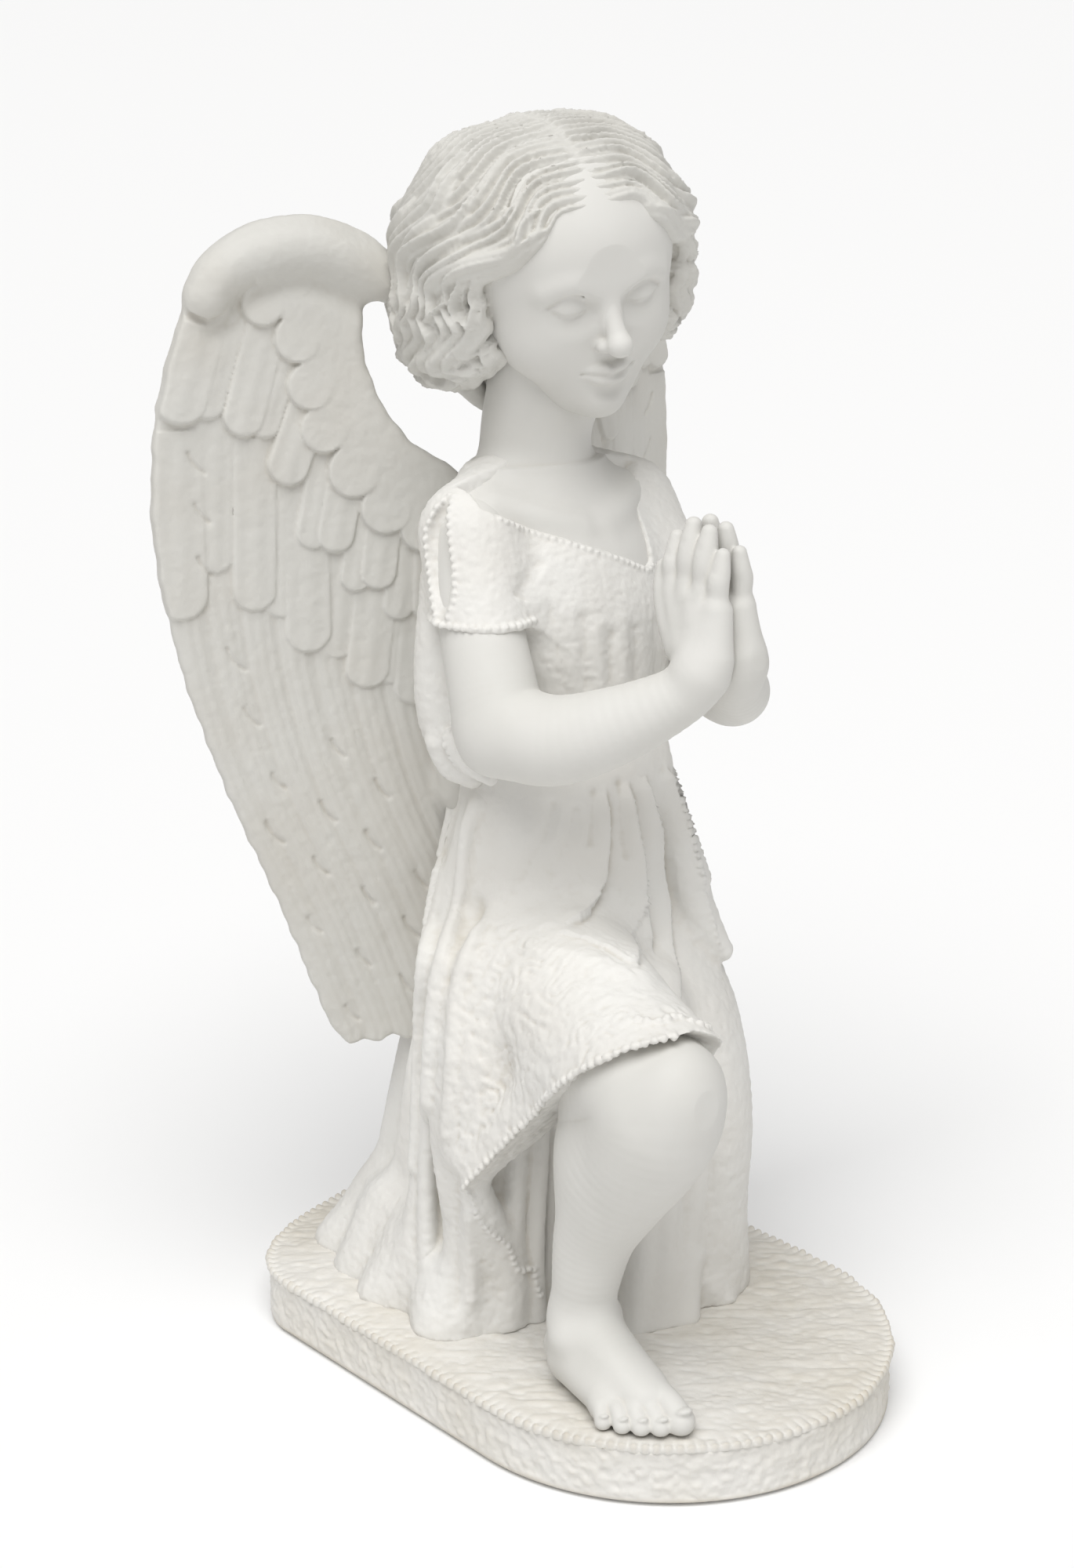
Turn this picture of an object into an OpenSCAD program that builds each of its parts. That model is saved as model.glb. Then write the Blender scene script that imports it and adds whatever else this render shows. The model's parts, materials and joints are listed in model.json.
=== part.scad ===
// Kneeling praying angel, cast in white resin in nine pieces that are pinned and glued together.
// The figure looks along -Y, +Z is up, and the origin is the centre of the underside of the plinth.

/* [Plinth] */
// Length of the plinth from front to back
plinth_l = 230; // [220:1:240]
// Width of the plinth
plinth_w = 153; // [146:1:160]
// Height of the plinth casting
plinth_h = 20.5; // [18:0.5:26]
// How deep the flatter curve of the back end is
back_end = 44; // [36:1:60]
// Thickness of the felt pad
felt_t = 1.5; // [1:0.5:3]
// How far the felt pad stays inside the edge of the plinth
felt_inset = 4; // [2:1:8]

/* [Figure] */
// Height of the figure above the plinth
figure_h = 388; // [380:1:396]

/* [Wings] */
// Thickness of a wing at its root
wing_root_t = 13; // [11:0.5:15]
// Thickness of a wing at its outer edge
wing_edge_t = 5; // [4:0.5:7]
// Radius of the rolled leading edge
ridge_r = 7.5; // [6:0.5:9]

/* [Pins and screws] */
// Radius of the neck dowel and the waist dowels
big_dowel_r = 4; // [3:0.5:5]
// Radius of the wing, shoulder, knee and foot dowels
small_dowel_r = 2.5; // [2:0.25:3]
// Radius of the pin between the palms
palm_pin_r = 1.5; // [1:0.25:2]
// Gap around a dowel or a pin, which the glue fills
glue_gap = 0.2; // [0.15:0.05:0.4]
// Radius of a screw's head
screw_head_r = 4.5; // [4:0.5:5.5]
// Radius of a screw's shank
screw_r = 2; // [1.5:0.25:2.5]
// Depth of the counterbore under a screw's head
counterbore = 8; // [6:1:10]

/* [Hidden] */

resin = "ghostwhite";
steel = "silver";
felt = "dimgray";

sphere_facets = 20;
wing_facets = 12;
hole_facets = 32;
outline_steps = 40;
top_z = felt_t + plinth_h;      // the plane that the figure stands on
k = figure_h / 388;             // the places below are for a figure 388 mm high
far = 500;                      // longer than the object in any direction
oval_t = 0.2;                   // thickness of the level slices that a body is lofted through

// The figure's own places are [x, y, height above the plinth], at scale k.
function at(p) = [p[0] * k, p[1] * k, top_z + p[2] * k];

// ---- Where the pieces are pinned ----
neck_pin = [[0, 27, 236], [0, 27, 300]];
waist_pins = [[[-10, 14, 182], [-10, 14, 218]], [[16, 14, 182], [16, 14, 218]]];
right_shoulder_pin = [[-37, 12, 254], [-43, -8, 214]];
left_shoulder_pin = [[35, 14, 254], [39, -8, 216]];
wing_pin_heights = [210, 238];
wing_pin_x = 14;
wing_pin_y = [28, 55];
knee_pin = [[-28, -30, 116], [-38, -68, 108]];
foot_pin = [[-42, -46, -13], [-42, -46, 20]];
palm_x = -2;                    // the plane between the palms
palm_pin = [[palm_x - 6, -57, 247], [palm_x + 6, -57, 247]];
screw_places = [[-14, 66], [22, 62], [10, 6]];
screw_reach = 26;               // how far a screw goes into the skirt
thread_gap = 0.1;               // gap around a screw in the skirt
tip_gap = 1;                    // space beyond the tip of a screw
head_gap = 1;                   // gap around a screw's head in its counterbore

// ---- Building blocks ----
module ball(p, r) translate(at(p)) sphere(r * k, $fn = sphere_facets);

// An egg of radii r about p
module egg(p, r) translate(at(p)) scale(r * k) sphere(1, $fn = sphere_facets);

// A limb through the balls of a list of [x, y, height, radius]
module limb(balls) {
    for (i = [0 : len(balls) - 2])
        hull() {
            ball(balls[i], balls[i][3]);
            ball(balls[i + 1], balls[i + 1][3]);
        }
}

// A body through level ovals, from a list of [height, x, y, x radius, y radius]
module oval(o) translate(at([o[1], o[2], o[0]])) scale([o[3] * k, o[4] * k, 1])
    cylinder(r = 1, h = oval_t, $fn = 2 * sphere_facets, center = true);
module loft(ovals) {
    for (i = [0 : len(ovals) - 2])
        hull() {
            oval(ovals[i]);
            oval(ovals[i + 1]);
        }
}

// A round pin between two places, or the hole for it when gap is more than 0
module pin(ends, r, gap = 0) {
    a = at(ends[0]);
    v = at(ends[1]) - a;
    length = norm(v);
    translate(a)
        rotate([0, acos(v[2] / length), atan2(v[1], v[0])])
            translate([0, 0, -gap])
                cylinder(r = r + gap, h = length + 2 * gap, $fn = hole_facets);
}

module above_plinth() translate([-far, -far, top_z]) cube([2 * far, 2 * far, far]);

// ---- Plinth ----
function outline(inset) = [
    for (i = [0 : outline_steps])
        let (a = 180 * i / outline_steps, r = plinth_w / 2 - inset)
            [-r * cos(a), -(plinth_l - plinth_w) / 2 - r * sin(a)],
    for (i = [0 : outline_steps])
        let (a = 180 * i / outline_steps, r = plinth_w / 2 - inset)
            [r * cos(a), plinth_l / 2 - back_end + (back_end - inset) * sin(a)]
];

module plinth() {
    color(resin)
        difference() {
            translate([0, 0, felt_t])
                linear_extrude(plinth_h)
                    polygon(outline(0));
            for (place = screw_places)
                translate([place[0], place[1], 0]) {
                    cylinder(r = screw_r + glue_gap, h = far, $fn = hole_facets);
                    cylinder(r = screw_head_r + head_gap, h = felt_t + counterbore, $fn = hole_facets);
                }
            pin(foot_pin, small_dowel_r, glue_gap);
        }
}

module felt_pad() {
    color(felt)
        linear_extrude(felt_t)
            polygon(outline(felt_inset));
}

// ---- Skirt, from the waist to the plinth ----
module skirt_form() {
    intersection() {
        difference() {
            union() {
                loft([
                    [0, 0, 44, 46, 56],
                    [34, 2, 40, 44, 48],
                    [80, 3, 34, 43, 41],
                    [130, 2, 23, 42, 38],
                    [172, 2, 14, 38, 33],
                    [200, 2, 12, 33, 29]
                ]);
                // the left thigh, and the knee on the plinth
                limb([[18, 16, 124, 32], [29, -8, 78, 28], [30, -14, 26, 23], [30, -14, 0, 24]]);
                // the layer of cloth that hangs from the waist on the left
                limb([[20, -8, 178, 9], [28, -12, 149, 9], [38, -18, 118, 8]]);
                // the right thigh under the drapery
                limb([[-12, 14, 128, 32], [-30, -36, 120, 27], [-38, -72, 108, 23]]);
                limb([[-39, -60, 122, 12], [-40, -84, 119, 12]]);
                // the corner of cloth that hangs outside the thigh
                limb([[-44, -20, 100, 14], [-56, -12, 74, 9], [-50, 4, 36, 10], [-44, 12, 4, 12]]);
            }
            below_hem();
        }
        above_plinth();
    }
    intersection() {
        union() {
            // the lining behind the right shin, and between the legs
            limb([[-34, -4, 96, 18], [-36, 2, 50, 15], [-38, 12, 4, 17]]);
            limb([[0, -20, 96, 20], [2, -22, 50, 17], [6, -27, 4, 16]]);
            // folds that spread on the plinth
            limb([[-30, 62, 4, 9], [-52, 48, 2, 8]]);
            limb([[-18, 82, 6, 10], [-40, 88, 2, 8]]);
            limb([[0, 84, 10, 14], [6, 96, 2, 12]]);
        }
        above_plinth();
    }
}

// The space under the hem, seen from the side: [y, height] from the hanging corner to the knee
hem_line = [[-14, 60], [-24, 84], [-44, 104], [-64, 120], [-82, 129], [-120, 131]];
hem_inside = -14;               // how far in the space reaches between the legs

module below_hem() {
    points = concat([for (h = hem_line) [at([0, h[0], h[1]])[1], at([0, h[0], h[1]])[2]]],
                    [[-far, top_z + far / 4], [-far, -1], [hem_line[0][0] * k, -1]]);
    translate([hem_inside * k, 0, 0])
        rotate([90, 0, -90])
            mirror([1, 0, 0])
                linear_extrude(far)
                    polygon(points);
}

module skirt() {
    color(resin)
        difference() {
            skirt_form();
            for (ends = waist_pins)
                pin(ends, big_dowel_r, glue_gap);
            pin(knee_pin, small_dowel_r, glue_gap);
            for (place = screw_places)
                translate([place[0], place[1], 0])
                    cylinder(r = screw_r + thread_gap, h = top_z + screw_reach + tip_gap, $fn = hole_facets);
        }
}

// ---- Bodice, with its short sleeves ----
module bodice_form() {
    loft([
        [200, 2, 12, 33, 29],
        [214, 2, 12, 35, 31],
        [234, 1, 12, 38, 31],
        [256, 0, 16, 38, 28],
        [272, 0, 22, 32, 20],
        [280, 0, 25, 22, 13]
    ]);
    limb([[-36, 14, 262, 15], [0, 24, 268, 17], [35, 20, 262, 14]]);
    limb([[-36, 14, 262, 15], [-39, 7, 240, 15.5]]);
    limb([[35, 20, 262, 14], [37, 6, 242, 14.5]]);
}

module bodice() {
    color(resin)
        difference() {
            bodice_form();
            skirt_form();
            head_form();
            for (ends = waist_pins)
                pin(ends, big_dowel_r, glue_gap);
            pin(neck_pin, big_dowel_r, glue_gap);
            for (ends = [right_shoulder_pin, left_shoulder_pin])
                pin(ends, small_dowel_r, glue_gap);
            wing_pins(-1, glue_gap);
            wing_pins(1, glue_gap);
        }
}

// ---- Head, with the hair, neck and upper chest ----
module head_form() {
    // neck and upper chest
    limb([[0, 24, 268, 22], [0, 26, 284, 18], [0, 24, 310, 19]]);
    limb([[-14, 8, 262, 15], [14, 8, 262, 15]]);
    // skull and the hair over it
    hull() {
        egg([2, 20, 343], [42.5, 46, 45]);
        egg([2, 32, 322], [38, 34, 28]);
    }
    // the hair that curls in at the cheeks and the nape
    hull() {
        egg([-35, 30, 330], [18, 24, 25]);
        egg([-24, 34, 310], [16, 20, 15]);
    }
    hull() {
        egg([36, 26, 330], [14, 22, 22]);
        egg([24, 34, 312], [16, 20, 16]);
    }
    // face, jaw and nose
    hull() {
        egg([2, 2, 328], [32, 30, 32]);
        ball([2, -9, 310], 13);
    }
    limb([[2, -22, 326, 7], [2, -30, 318, 4]]);
}

module head() {
    color(resin)
        difference() {
            head_form();
            pin(neck_pin, big_dowel_r, glue_gap);
        }
}

// ---- Arms; side is -1 for the right arm and 1 for the left ----
// [x, y, height, radius] from the sleeve over the elbow to the wrist
right_arm_path = [[-40, 5, 240, 13], [-44, -7, 214, 14.5], [-44, -14, 203, 14.5],
                  [-28, -38, 209, 12.5], [-12, -60, 224, 9]];
left_arm_path = [[38, 4, 240, 12.5], [39, -14, 220, 13], [37, -22, 212, 12.5],
                 [24, -42, 214, 11.5], [8, -60, 224, 8.5]];

module arm_form(side) {
    limb(side < 0 ? right_arm_path : left_arm_path);
    hand_form(side);
}

module hand_form(side) {
    x = palm_x + side * 4.6;
    wrist_x = palm_x + side * 9;
    intersection() {
        union() {
            // the heel of the hand, the palm and the fingers
            limb([[wrist_x, -61, 226, 8.5], [x + side, -61, 240, 7.5], [x, -63, 252, 5.5]]);
            limb([[x + side, -55, 236, 7], [x, -52, 252, 5.5], [x, -50, 261, 4.5]]);
            hull() {
                limb([[x, -65, 246, 5], [x, -53, 250, 5.5]]);
                limb([[x - side, -60, 271, 3.5], [x - side, -52, 270, 3.5]]);
            }
        }
        outer_side(side);
    }
}

// Everything on one side of the plane between the palms
module outer_side(side) {
    translate([palm_x * k + (side > 0 ? 0 : -far), -far, 0])
        cube([far, 2 * far, far]);
}

module right_arm() {
    color(resin)
        difference() {
            arm_form(-1);
            bodice_form();
            pin(right_shoulder_pin, small_dowel_r, glue_gap);
            pin(palm_pin, palm_pin_r, glue_gap);
        }
}

module left_arm() {
    color(resin)
        difference() {
            arm_form(1);
            bodice_form();
            pin(left_shoulder_pin, small_dowel_r, glue_gap);
            pin(palm_pin, palm_pin_r, glue_gap);
        }
}

// ---- Right leg, bare from the knee down ----
module leg_form() {
    intersection() {
        union() {
            limb([
                [-36, -52, 112, 19],
                [-40, -77, 105, 21],
                [-40, -62, 82, 19],
                [-40, -48, 53, 13],
                [-41, -47, 26, 11],
                [-42, -45, 8, 11]
            ]);
            limb([[-42, -50, 16, 12], [-43, -66, 9, 11], [-44, -80, 5, 9]]);
            limb([[-36, -68, 6, 7], [-38, -90, 5, 6]]);
            limb([[-50, -64, 5, 7], [-54, -78, 3, 5]]);
            hull() {
                limb([[-38, -84, 5, 6], [-37, -91, 5, 5]]);
                limb([[-50, -76, 4, 5], [-55, -80, 3, 4]]);
            }
        }
        above_plinth();
    }
}

module right_leg() {
    color(resin)
        difference() {
            leg_form();
            skirt_form();
            pin(knee_pin, small_dowel_r, glue_gap);
            pin(foot_pin, small_dowel_r, glue_gap);
        }
}

// ---- Wings; a wing lies in an upright plane that leans back from the shoulder blades ----
wing_root = [-10, 50];          // where the plane of the right wing meets the back
wing_turn = 18.5;               // how far it leans back from straight out, in degrees

// A place in the wing's plane, s outwards and z above the plinth; off is towards the front
function on_wing(s, z, off = 0) =
    [wing_root[0] - s * cos(wing_turn) - off * sin(wing_turn),
     wing_root[1] + s * sin(wing_turn) - off * cos(wing_turn), z];

// Ribs from the tips to the top: [height, inner edge, outer edge]
ribs = [[83, 22, 42], [92, 20, 48], [112, 16, 57], [134, 11, 66], [152, 7, 73], [170, 3, 79],
        [200, -2, 88], [228, -3, 96], [256, -3, 101], [268, -2, 101], [274, 6, 100], [282, 17, 100],
        [290, 26, 99], [300, 33, 98], [312, 36, 96], [324, 36, 92], [338, 30, 84], [350, 36, 70]];
// The leading edge, from the outer end over the top and behind the hair: [s, z]
ridge = [[84, 328], [79, 338], [69, 346], [58, 348], [46, 347], [36, 343], [27, 336]];

thick_to = 40;                  // a wing is thicker than at its edge as far out as this

module rib(r) {
    place_in = on_wing(r[1], r[0]);
    place_out = on_wing(r[2], r[0]);
    inner_r = max(wing_edge_t, wing_root_t * (1 - max(r[1], 0) / thick_to)) / 2;
    hull() {
        translate(at(place_in)) sphere(inner_r * k, $fn = wing_facets);
        translate(at(place_out)) sphere(wing_edge_t / 2 * k, $fn = wing_facets);
    }
}

module wing_form() {
    for (i = [0 : len(ribs) - 2])
        hull() {
            rib(ribs[i]);
            rib(ribs[i + 1]);
        }
    for (i = [0 : len(ridge) - 2])
        hull() {
            ball(on_wing(ridge[i][0], ridge[i][1], 2), ridge_r);
            ball(on_wing(ridge[i + 1][0], ridge[i + 1][1], 2), ridge_r);
        }
    limb([[-14, 43, 196, 9], [-13, 42, 226, 9], [-12, 41, 256, 8]]);
}

module wing_pins(side, gap = 0) {
    for (z = wing_pin_heights)
        pin([[side * wing_pin_x, wing_pin_y[0], z], [side * wing_pin_x, wing_pin_y[1], z]],
            small_dowel_r, gap);
}

module right_wing() {
    color(resin)
        difference() {
            wing_form();
            bodice_form();
            skirt_form();
            head_form();
            wing_pins(-1, glue_gap);
        }
}

module left_wing() {
    color(resin)
        difference() {
            mirror([1, 0, 0]) wing_form();
            bodice_form();
            skirt_form();
            head_form();
            wing_pins(1, glue_gap);
        }
}

// ---- Steel pins and screws ----
module neck_dowel() { color(steel) pin(neck_pin, big_dowel_r); }

module waist_dowels() {
    color(steel)
        for (ends = waist_pins)
            pin(ends, big_dowel_r);
}

module right_wing_dowels() { color(steel) wing_pins(-1); }
module left_wing_dowels() { color(steel) wing_pins(1); }
module right_shoulder_dowel() { color(steel) pin(right_shoulder_pin, small_dowel_r); }
module left_shoulder_dowel() { color(steel) pin(left_shoulder_pin, small_dowel_r); }
module knee_dowel() { color(steel) pin(knee_pin, small_dowel_r); }
module foot_dowel() { color(steel) pin(foot_pin, small_dowel_r); }
module palm_pin_node() { color(steel) pin(palm_pin, palm_pin_r); }

washer_t = 1;
washer_r = screw_head_r + 0.5;
through = 1;                    // how far a hole's cutter passes each face
head_t = 3;
seat_z = felt_t + counterbore;  // the roof of a counterbore, where the washer seats

module plinth_screws() {
    color(steel)
        for (place = screw_places)
            translate([place[0], place[1], seat_z - washer_t - head_t])
                union() {
                    cylinder(r = screw_head_r, h = head_t, $fn = hole_facets);
                    cylinder(r = screw_r, h = top_z + screw_reach - (seat_z - washer_t - head_t),
                             $fn = hole_facets);
                }
}

module screw_washers() {
    color(steel)
        for (place = screw_places)
            translate([place[0], place[1], seat_z - washer_t])
                difference() {
                    cylinder(r = washer_r, h = washer_t, $fn = hole_facets);
                    translate([0, 0, -through])
                        cylinder(r = screw_r + glue_gap, h = washer_t + 2 * through, $fn = hole_facets);
                }
}

plinth();
felt_pad();
skirt();
bodice();
head();
right_arm();
left_arm();
right_leg();
right_wing();
left_wing();
neck_dowel();
waist_dowels();
right_wing_dowels();
left_wing_dowels();
right_shoulder_dowel();
left_shoulder_dowel();
knee_dowel();
foot_dowel();
palm_pin_node();  // palm_pin
plinth_screws();
screw_washers();
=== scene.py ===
"""The looks of a kneeling praying angel, cast in ivory resin.

Each casting is sculpted as a field of distances to its surface, in millimetres, on a grid of small
cells, and the field is then turned into a mesh. Places are [x, y, height above the plinth] for a
figure 388 mm high, as in the CAD source; as_built() scales them to the frame's own figure.
"""

import json
import math

import bpy
import numpy as np
import openvdb
from mathutils import Matrix, Vector


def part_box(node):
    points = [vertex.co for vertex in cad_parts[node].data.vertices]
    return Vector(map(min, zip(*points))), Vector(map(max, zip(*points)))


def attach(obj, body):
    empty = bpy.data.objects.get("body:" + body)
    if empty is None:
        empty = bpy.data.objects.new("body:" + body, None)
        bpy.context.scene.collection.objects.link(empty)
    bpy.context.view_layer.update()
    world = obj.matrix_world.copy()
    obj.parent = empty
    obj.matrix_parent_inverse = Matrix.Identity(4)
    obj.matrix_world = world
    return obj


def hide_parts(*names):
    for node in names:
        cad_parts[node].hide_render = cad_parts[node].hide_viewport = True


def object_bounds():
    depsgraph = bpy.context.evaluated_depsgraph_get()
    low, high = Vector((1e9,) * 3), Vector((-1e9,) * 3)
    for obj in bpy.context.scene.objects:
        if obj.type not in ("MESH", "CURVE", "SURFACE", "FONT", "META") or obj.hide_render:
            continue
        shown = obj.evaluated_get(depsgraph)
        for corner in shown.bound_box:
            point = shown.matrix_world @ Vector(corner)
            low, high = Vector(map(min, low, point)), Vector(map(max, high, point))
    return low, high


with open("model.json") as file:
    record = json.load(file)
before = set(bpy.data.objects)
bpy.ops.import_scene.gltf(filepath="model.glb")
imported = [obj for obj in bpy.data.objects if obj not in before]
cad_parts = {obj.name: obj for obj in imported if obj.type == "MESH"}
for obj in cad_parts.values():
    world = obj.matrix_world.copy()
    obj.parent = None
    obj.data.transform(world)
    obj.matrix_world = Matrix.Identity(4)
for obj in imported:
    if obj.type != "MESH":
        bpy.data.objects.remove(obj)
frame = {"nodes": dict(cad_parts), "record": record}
cad_low, cad_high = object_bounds()

MM = 0.001
DRAWN_HEIGHT = 388.0
top_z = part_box("plinth")[1].z / MM                       # the plane that the figure stands on
scale = (cad_high.z / MM - top_z) / DRAWN_HEIGHT
FAR = 1000.0                                             # a distance that means "nowhere near"
rough = 1.0                       # coarser cells while trying things
DRAWN_FROM = np.array([0.62, 0.73, -0.28])               # the way that one looks at the front right side


# ---------------------------------------------------------------- small tools

def as_built(points):
    """Places on the drawn figure as places in the frame, in metres."""
    out = np.array(points, float) * scale
    out[:, 2] += top_z
    return out * MM


def smooth_min(a, b, k):
    if k <= 0:
        return np.minimum(a, b)
    h = np.maximum(k - np.abs(a - b), 0) / k
    return np.minimum(a, b) - h * h * k / 4


def smooth_max(a, b, k):
    return -smooth_min(-a, -b, k)


def ease(t):
    t = np.clip(t, 0, 1)
    return t * t * (3 - 2 * t)


def turn(axis, degrees):
    return np.array(Matrix.Rotation(math.radians(degrees), 3, axis))


def curve(points, steps=6):
    """A smooth line through the points, which may have more than three numbers each."""
    p = np.array(points, float)
    p = np.vstack([2 * p[0] - p[1], p, 2 * p[-1] - p[-2]])
    t = np.linspace(0, 1, steps, endpoint=False)[:, None]
    out = []
    for a, b, c, d in zip(p[:-3], p[1:-2], p[2:-1], p[3:]):
        out.append(b + t / 2 * (c - a + t * (2 * a - 5 * b + 4 * c - d + t * (3 * b - a - 3 * c + d))))
    return np.vstack(out + [p[-2:-1]])


def resample(line, pitch):
    """Points at an even pitch along a line."""
    line = np.array(line, float)
    run = np.concatenate([[0], np.cumsum(np.linalg.norm(np.diff(line[:, :3], axis=0), axis=1))])
    at = np.linspace(0, run[-1], max(2, int(round(run[-1] / pitch)) + 1))
    return np.stack([np.interp(at, run, line[:, i]) for i in range(line.shape[1])], 1)


def noise(p, size, seed=0):
    """Smooth noise from -1 to 1 at the places p, with bumps about size across."""
    q = np.asarray(p, float) / size
    cell = np.floor(q).astype(np.int64)
    f = q - cell
    u = f * f * (3 - 2 * f)
    total = np.zeros(len(q))
    for corner in range(8):
        bit = [(corner >> i) & 1 for i in range(3)]
        h = ((cell[:, 0] + bit[0]) * 73856093) ^ ((cell[:, 1] + bit[1]) * 19349663)
        h = (h ^ ((cell[:, 2] + bit[2]) * 83492791) ^ (seed * 2654435761)) & 0xFFFFFFFF
        h = ((h ^ (h >> 13)) * 1274126177) & 0xFFFFFFFF
        value = ((h ^ (h >> 16)) & 0xFFFF) / 32767.5 - 1
        weight = np.ones(len(q))
        for i in range(3):
            weight = weight * (u[:, i] if bit[i] else 1 - u[:, i])
        total += weight * value
    return total


# ---------------------------------------------------------------- shapes
# A shape is (lowest corner, highest corner, function of x, y and z that gives the distance).

def egg(centre, radii, turned=None):
    c = np.array(centre, float)
    r = np.array(radii, float) * np.ones(3)
    reach = r if turned is None else np.full(3, r.max())

    def distance(x, y, z):
        x, y, z = x - c[0], y - c[1], z - c[2]
        if turned is not None:
            m = turned
            x, y, z = (m[0, 0] * x + m[1, 0] * y + m[2, 0] * z, m[0, 1] * x + m[1, 1] * y + m[2, 1] * z,
                       m[0, 2] * x + m[1, 2] * y + m[2, 2] * z)
        k0 = np.sqrt((x / r[0]) ** 2 + (y / r[1]) ** 2 + (z / r[2]) ** 2)
        k1 = np.sqrt((x / r[0] ** 2) ** 2 + (y / r[1] ** 2) ** 2 + (z / r[2] ** 2) ** 2)
        return k0 * (k0 - 1) / np.maximum(k1, 1e-6)
    return c - reach, c + reach, distance


def near_each(p, x, y, z, margin):
    """Walks along a line of [x, y, z, width, ...]. For each stretch it gives the number, both ends, the
    cells near it, how far along it they lie from 0 to 1, and their offset from it."""
    axes = (x.ravel(), y.ravel(), z.ravel())
    for i, (a, b) in enumerate(zip(p[:-1], p[1:])):
        reach = max(a[3], b[3]) + margin
        low, high = np.minimum(a, b)[:3] - reach, np.maximum(a, b)[:3] + reach
        cut = tuple(slice(np.searchsorted(axes[j], low[j]),
                          np.searchsorted(axes[j], high[j])) for j in range(3))
        if any(c.start >= c.stop for c in cut):
            continue
        dx, dy, dz = x[cut[0]] - a[0], y[:, cut[1]] - a[1], z[:, :, cut[2]] - a[2]
        ab = b[:3] - a[:3]
        t = np.clip((dx * ab[0] + dy * ab[1] + dz * ab[2]) / max(ab @ ab, 1e-9), 0, 1)
        yield i, a, b, cut, t, (dx - t * ab[0], dy - t * ab[1], dz - t * ab[2])


def nowhere(x, y, z):
    return np.full(np.broadcast_shapes(x.shape, y.shape, z.shape), FAR, np.float32)


def limb(line, margin=8.0):
    """A round limb along a line of [x, y, z, radius]."""
    p = np.array(line, float)

    def distance(x, y, z):
        out = nowhere(x, y, z)
        for _, a, b, cut, t, (vx, vy, vz) in near_each(p, x, y, z, margin):
            d = np.sqrt(vx ** 2 + vy ** 2 + vz ** 2)
            out[cut] = np.minimum(out[cut], d - (a[3] + t * (b[3] - a[3])))
        return out
    r = p[:, 3:4]
    return (p[:, :3] - r).min(0), (p[:, :3] + r).max(0), distance


def ribbon(line, out_ward, strands, margin=4.0, depth=0.35):
    """A flattened lock along a line of [x, y, z, half width, half height], with grooves between its
    strands; out_ward are its up directions."""
    p = np.array(line, float)

    def distance(x, y, z):
        out = nowhere(x, y, z)
        for i, a, b, cut, t, (vx, vy, vz) in near_each(p, x, y, z, margin):
            n = out_ward[i] + out_ward[i + 1]
            n = n / np.linalg.norm(n)
            side = np.cross(b[:3] - a[:3], n)
            side = side / max(np.linalg.norm(side), 1e-9)
            up = vx * n[0] + vy * n[1] + vz * n[2]
            across = vx * side[0] + vy * side[1] + vz * side[2]
            rest = np.maximum(vx ** 2 + vy ** 2 + vz ** 2 - up ** 2 - across ** 2, 0)
            half = a[3] + t * (b[3] - a[3])
            tall = a[4] + t * (b[4] - a[4])
            d = (np.sqrt((across ** 2 + rest) / half ** 2 + (up / tall) ** 2) - 1) * np.minimum(half, tall)
            d = d + depth * tall / 2 * (1 - np.cos(across / half * math.pi * strands)) / 2
            out[cut] = np.minimum(out[cut], d)
        return out
    r = p[:, 3:4]
    return (p[:, :3] - r).min(0), (p[:, :3] + r).max(0), distance


def half_space(point, normal, low, high):
    """Everything behind a plane, inside a box."""
    n = np.array(normal, float) / np.linalg.norm(normal)
    c = np.array(point, float)
    return (np.array(low, float), np.array(high, float), lambda x, y,
            z: (x - c[0]) * n[0] + (y - c[1]) * n[1] + (z - c[2]) * n[2])


def above(height, low, high):
    """Everything above a height, inside a box."""
    return np.array(low, float), np.array(high, float), lambda x, y, z: height - z


def outline_distance(u, v, outline):
    """Distance from (u, v) to a closed outline; negative inside."""
    p = np.array(outline, float)
    best = np.full(np.broadcast_shapes(u.shape, v.shape), FAR ** 2)
    inside = np.zeros(best.shape, bool)
    for a, b in zip(p, np.roll(p, -1, 0)):
        e = b - a
        t = np.clip(((u - a[0]) * e[0] + (v - a[1]) * e[1]) / max(e @ e, 1e-9), 0, 1)
        best = np.minimum(best, (u - a[0] - t * e[0]) ** 2 + (v - a[1] - t * e[1]) ** 2)
        crosses = ((a[1] > v) != (b[1] > v)) & (u < a[0] + (v - a[1]) * e[0] / (e[1] if e[1] else 1e-9))
        inside ^= crosses
    return np.where(inside, -1, 1) * np.sqrt(best)


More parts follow.
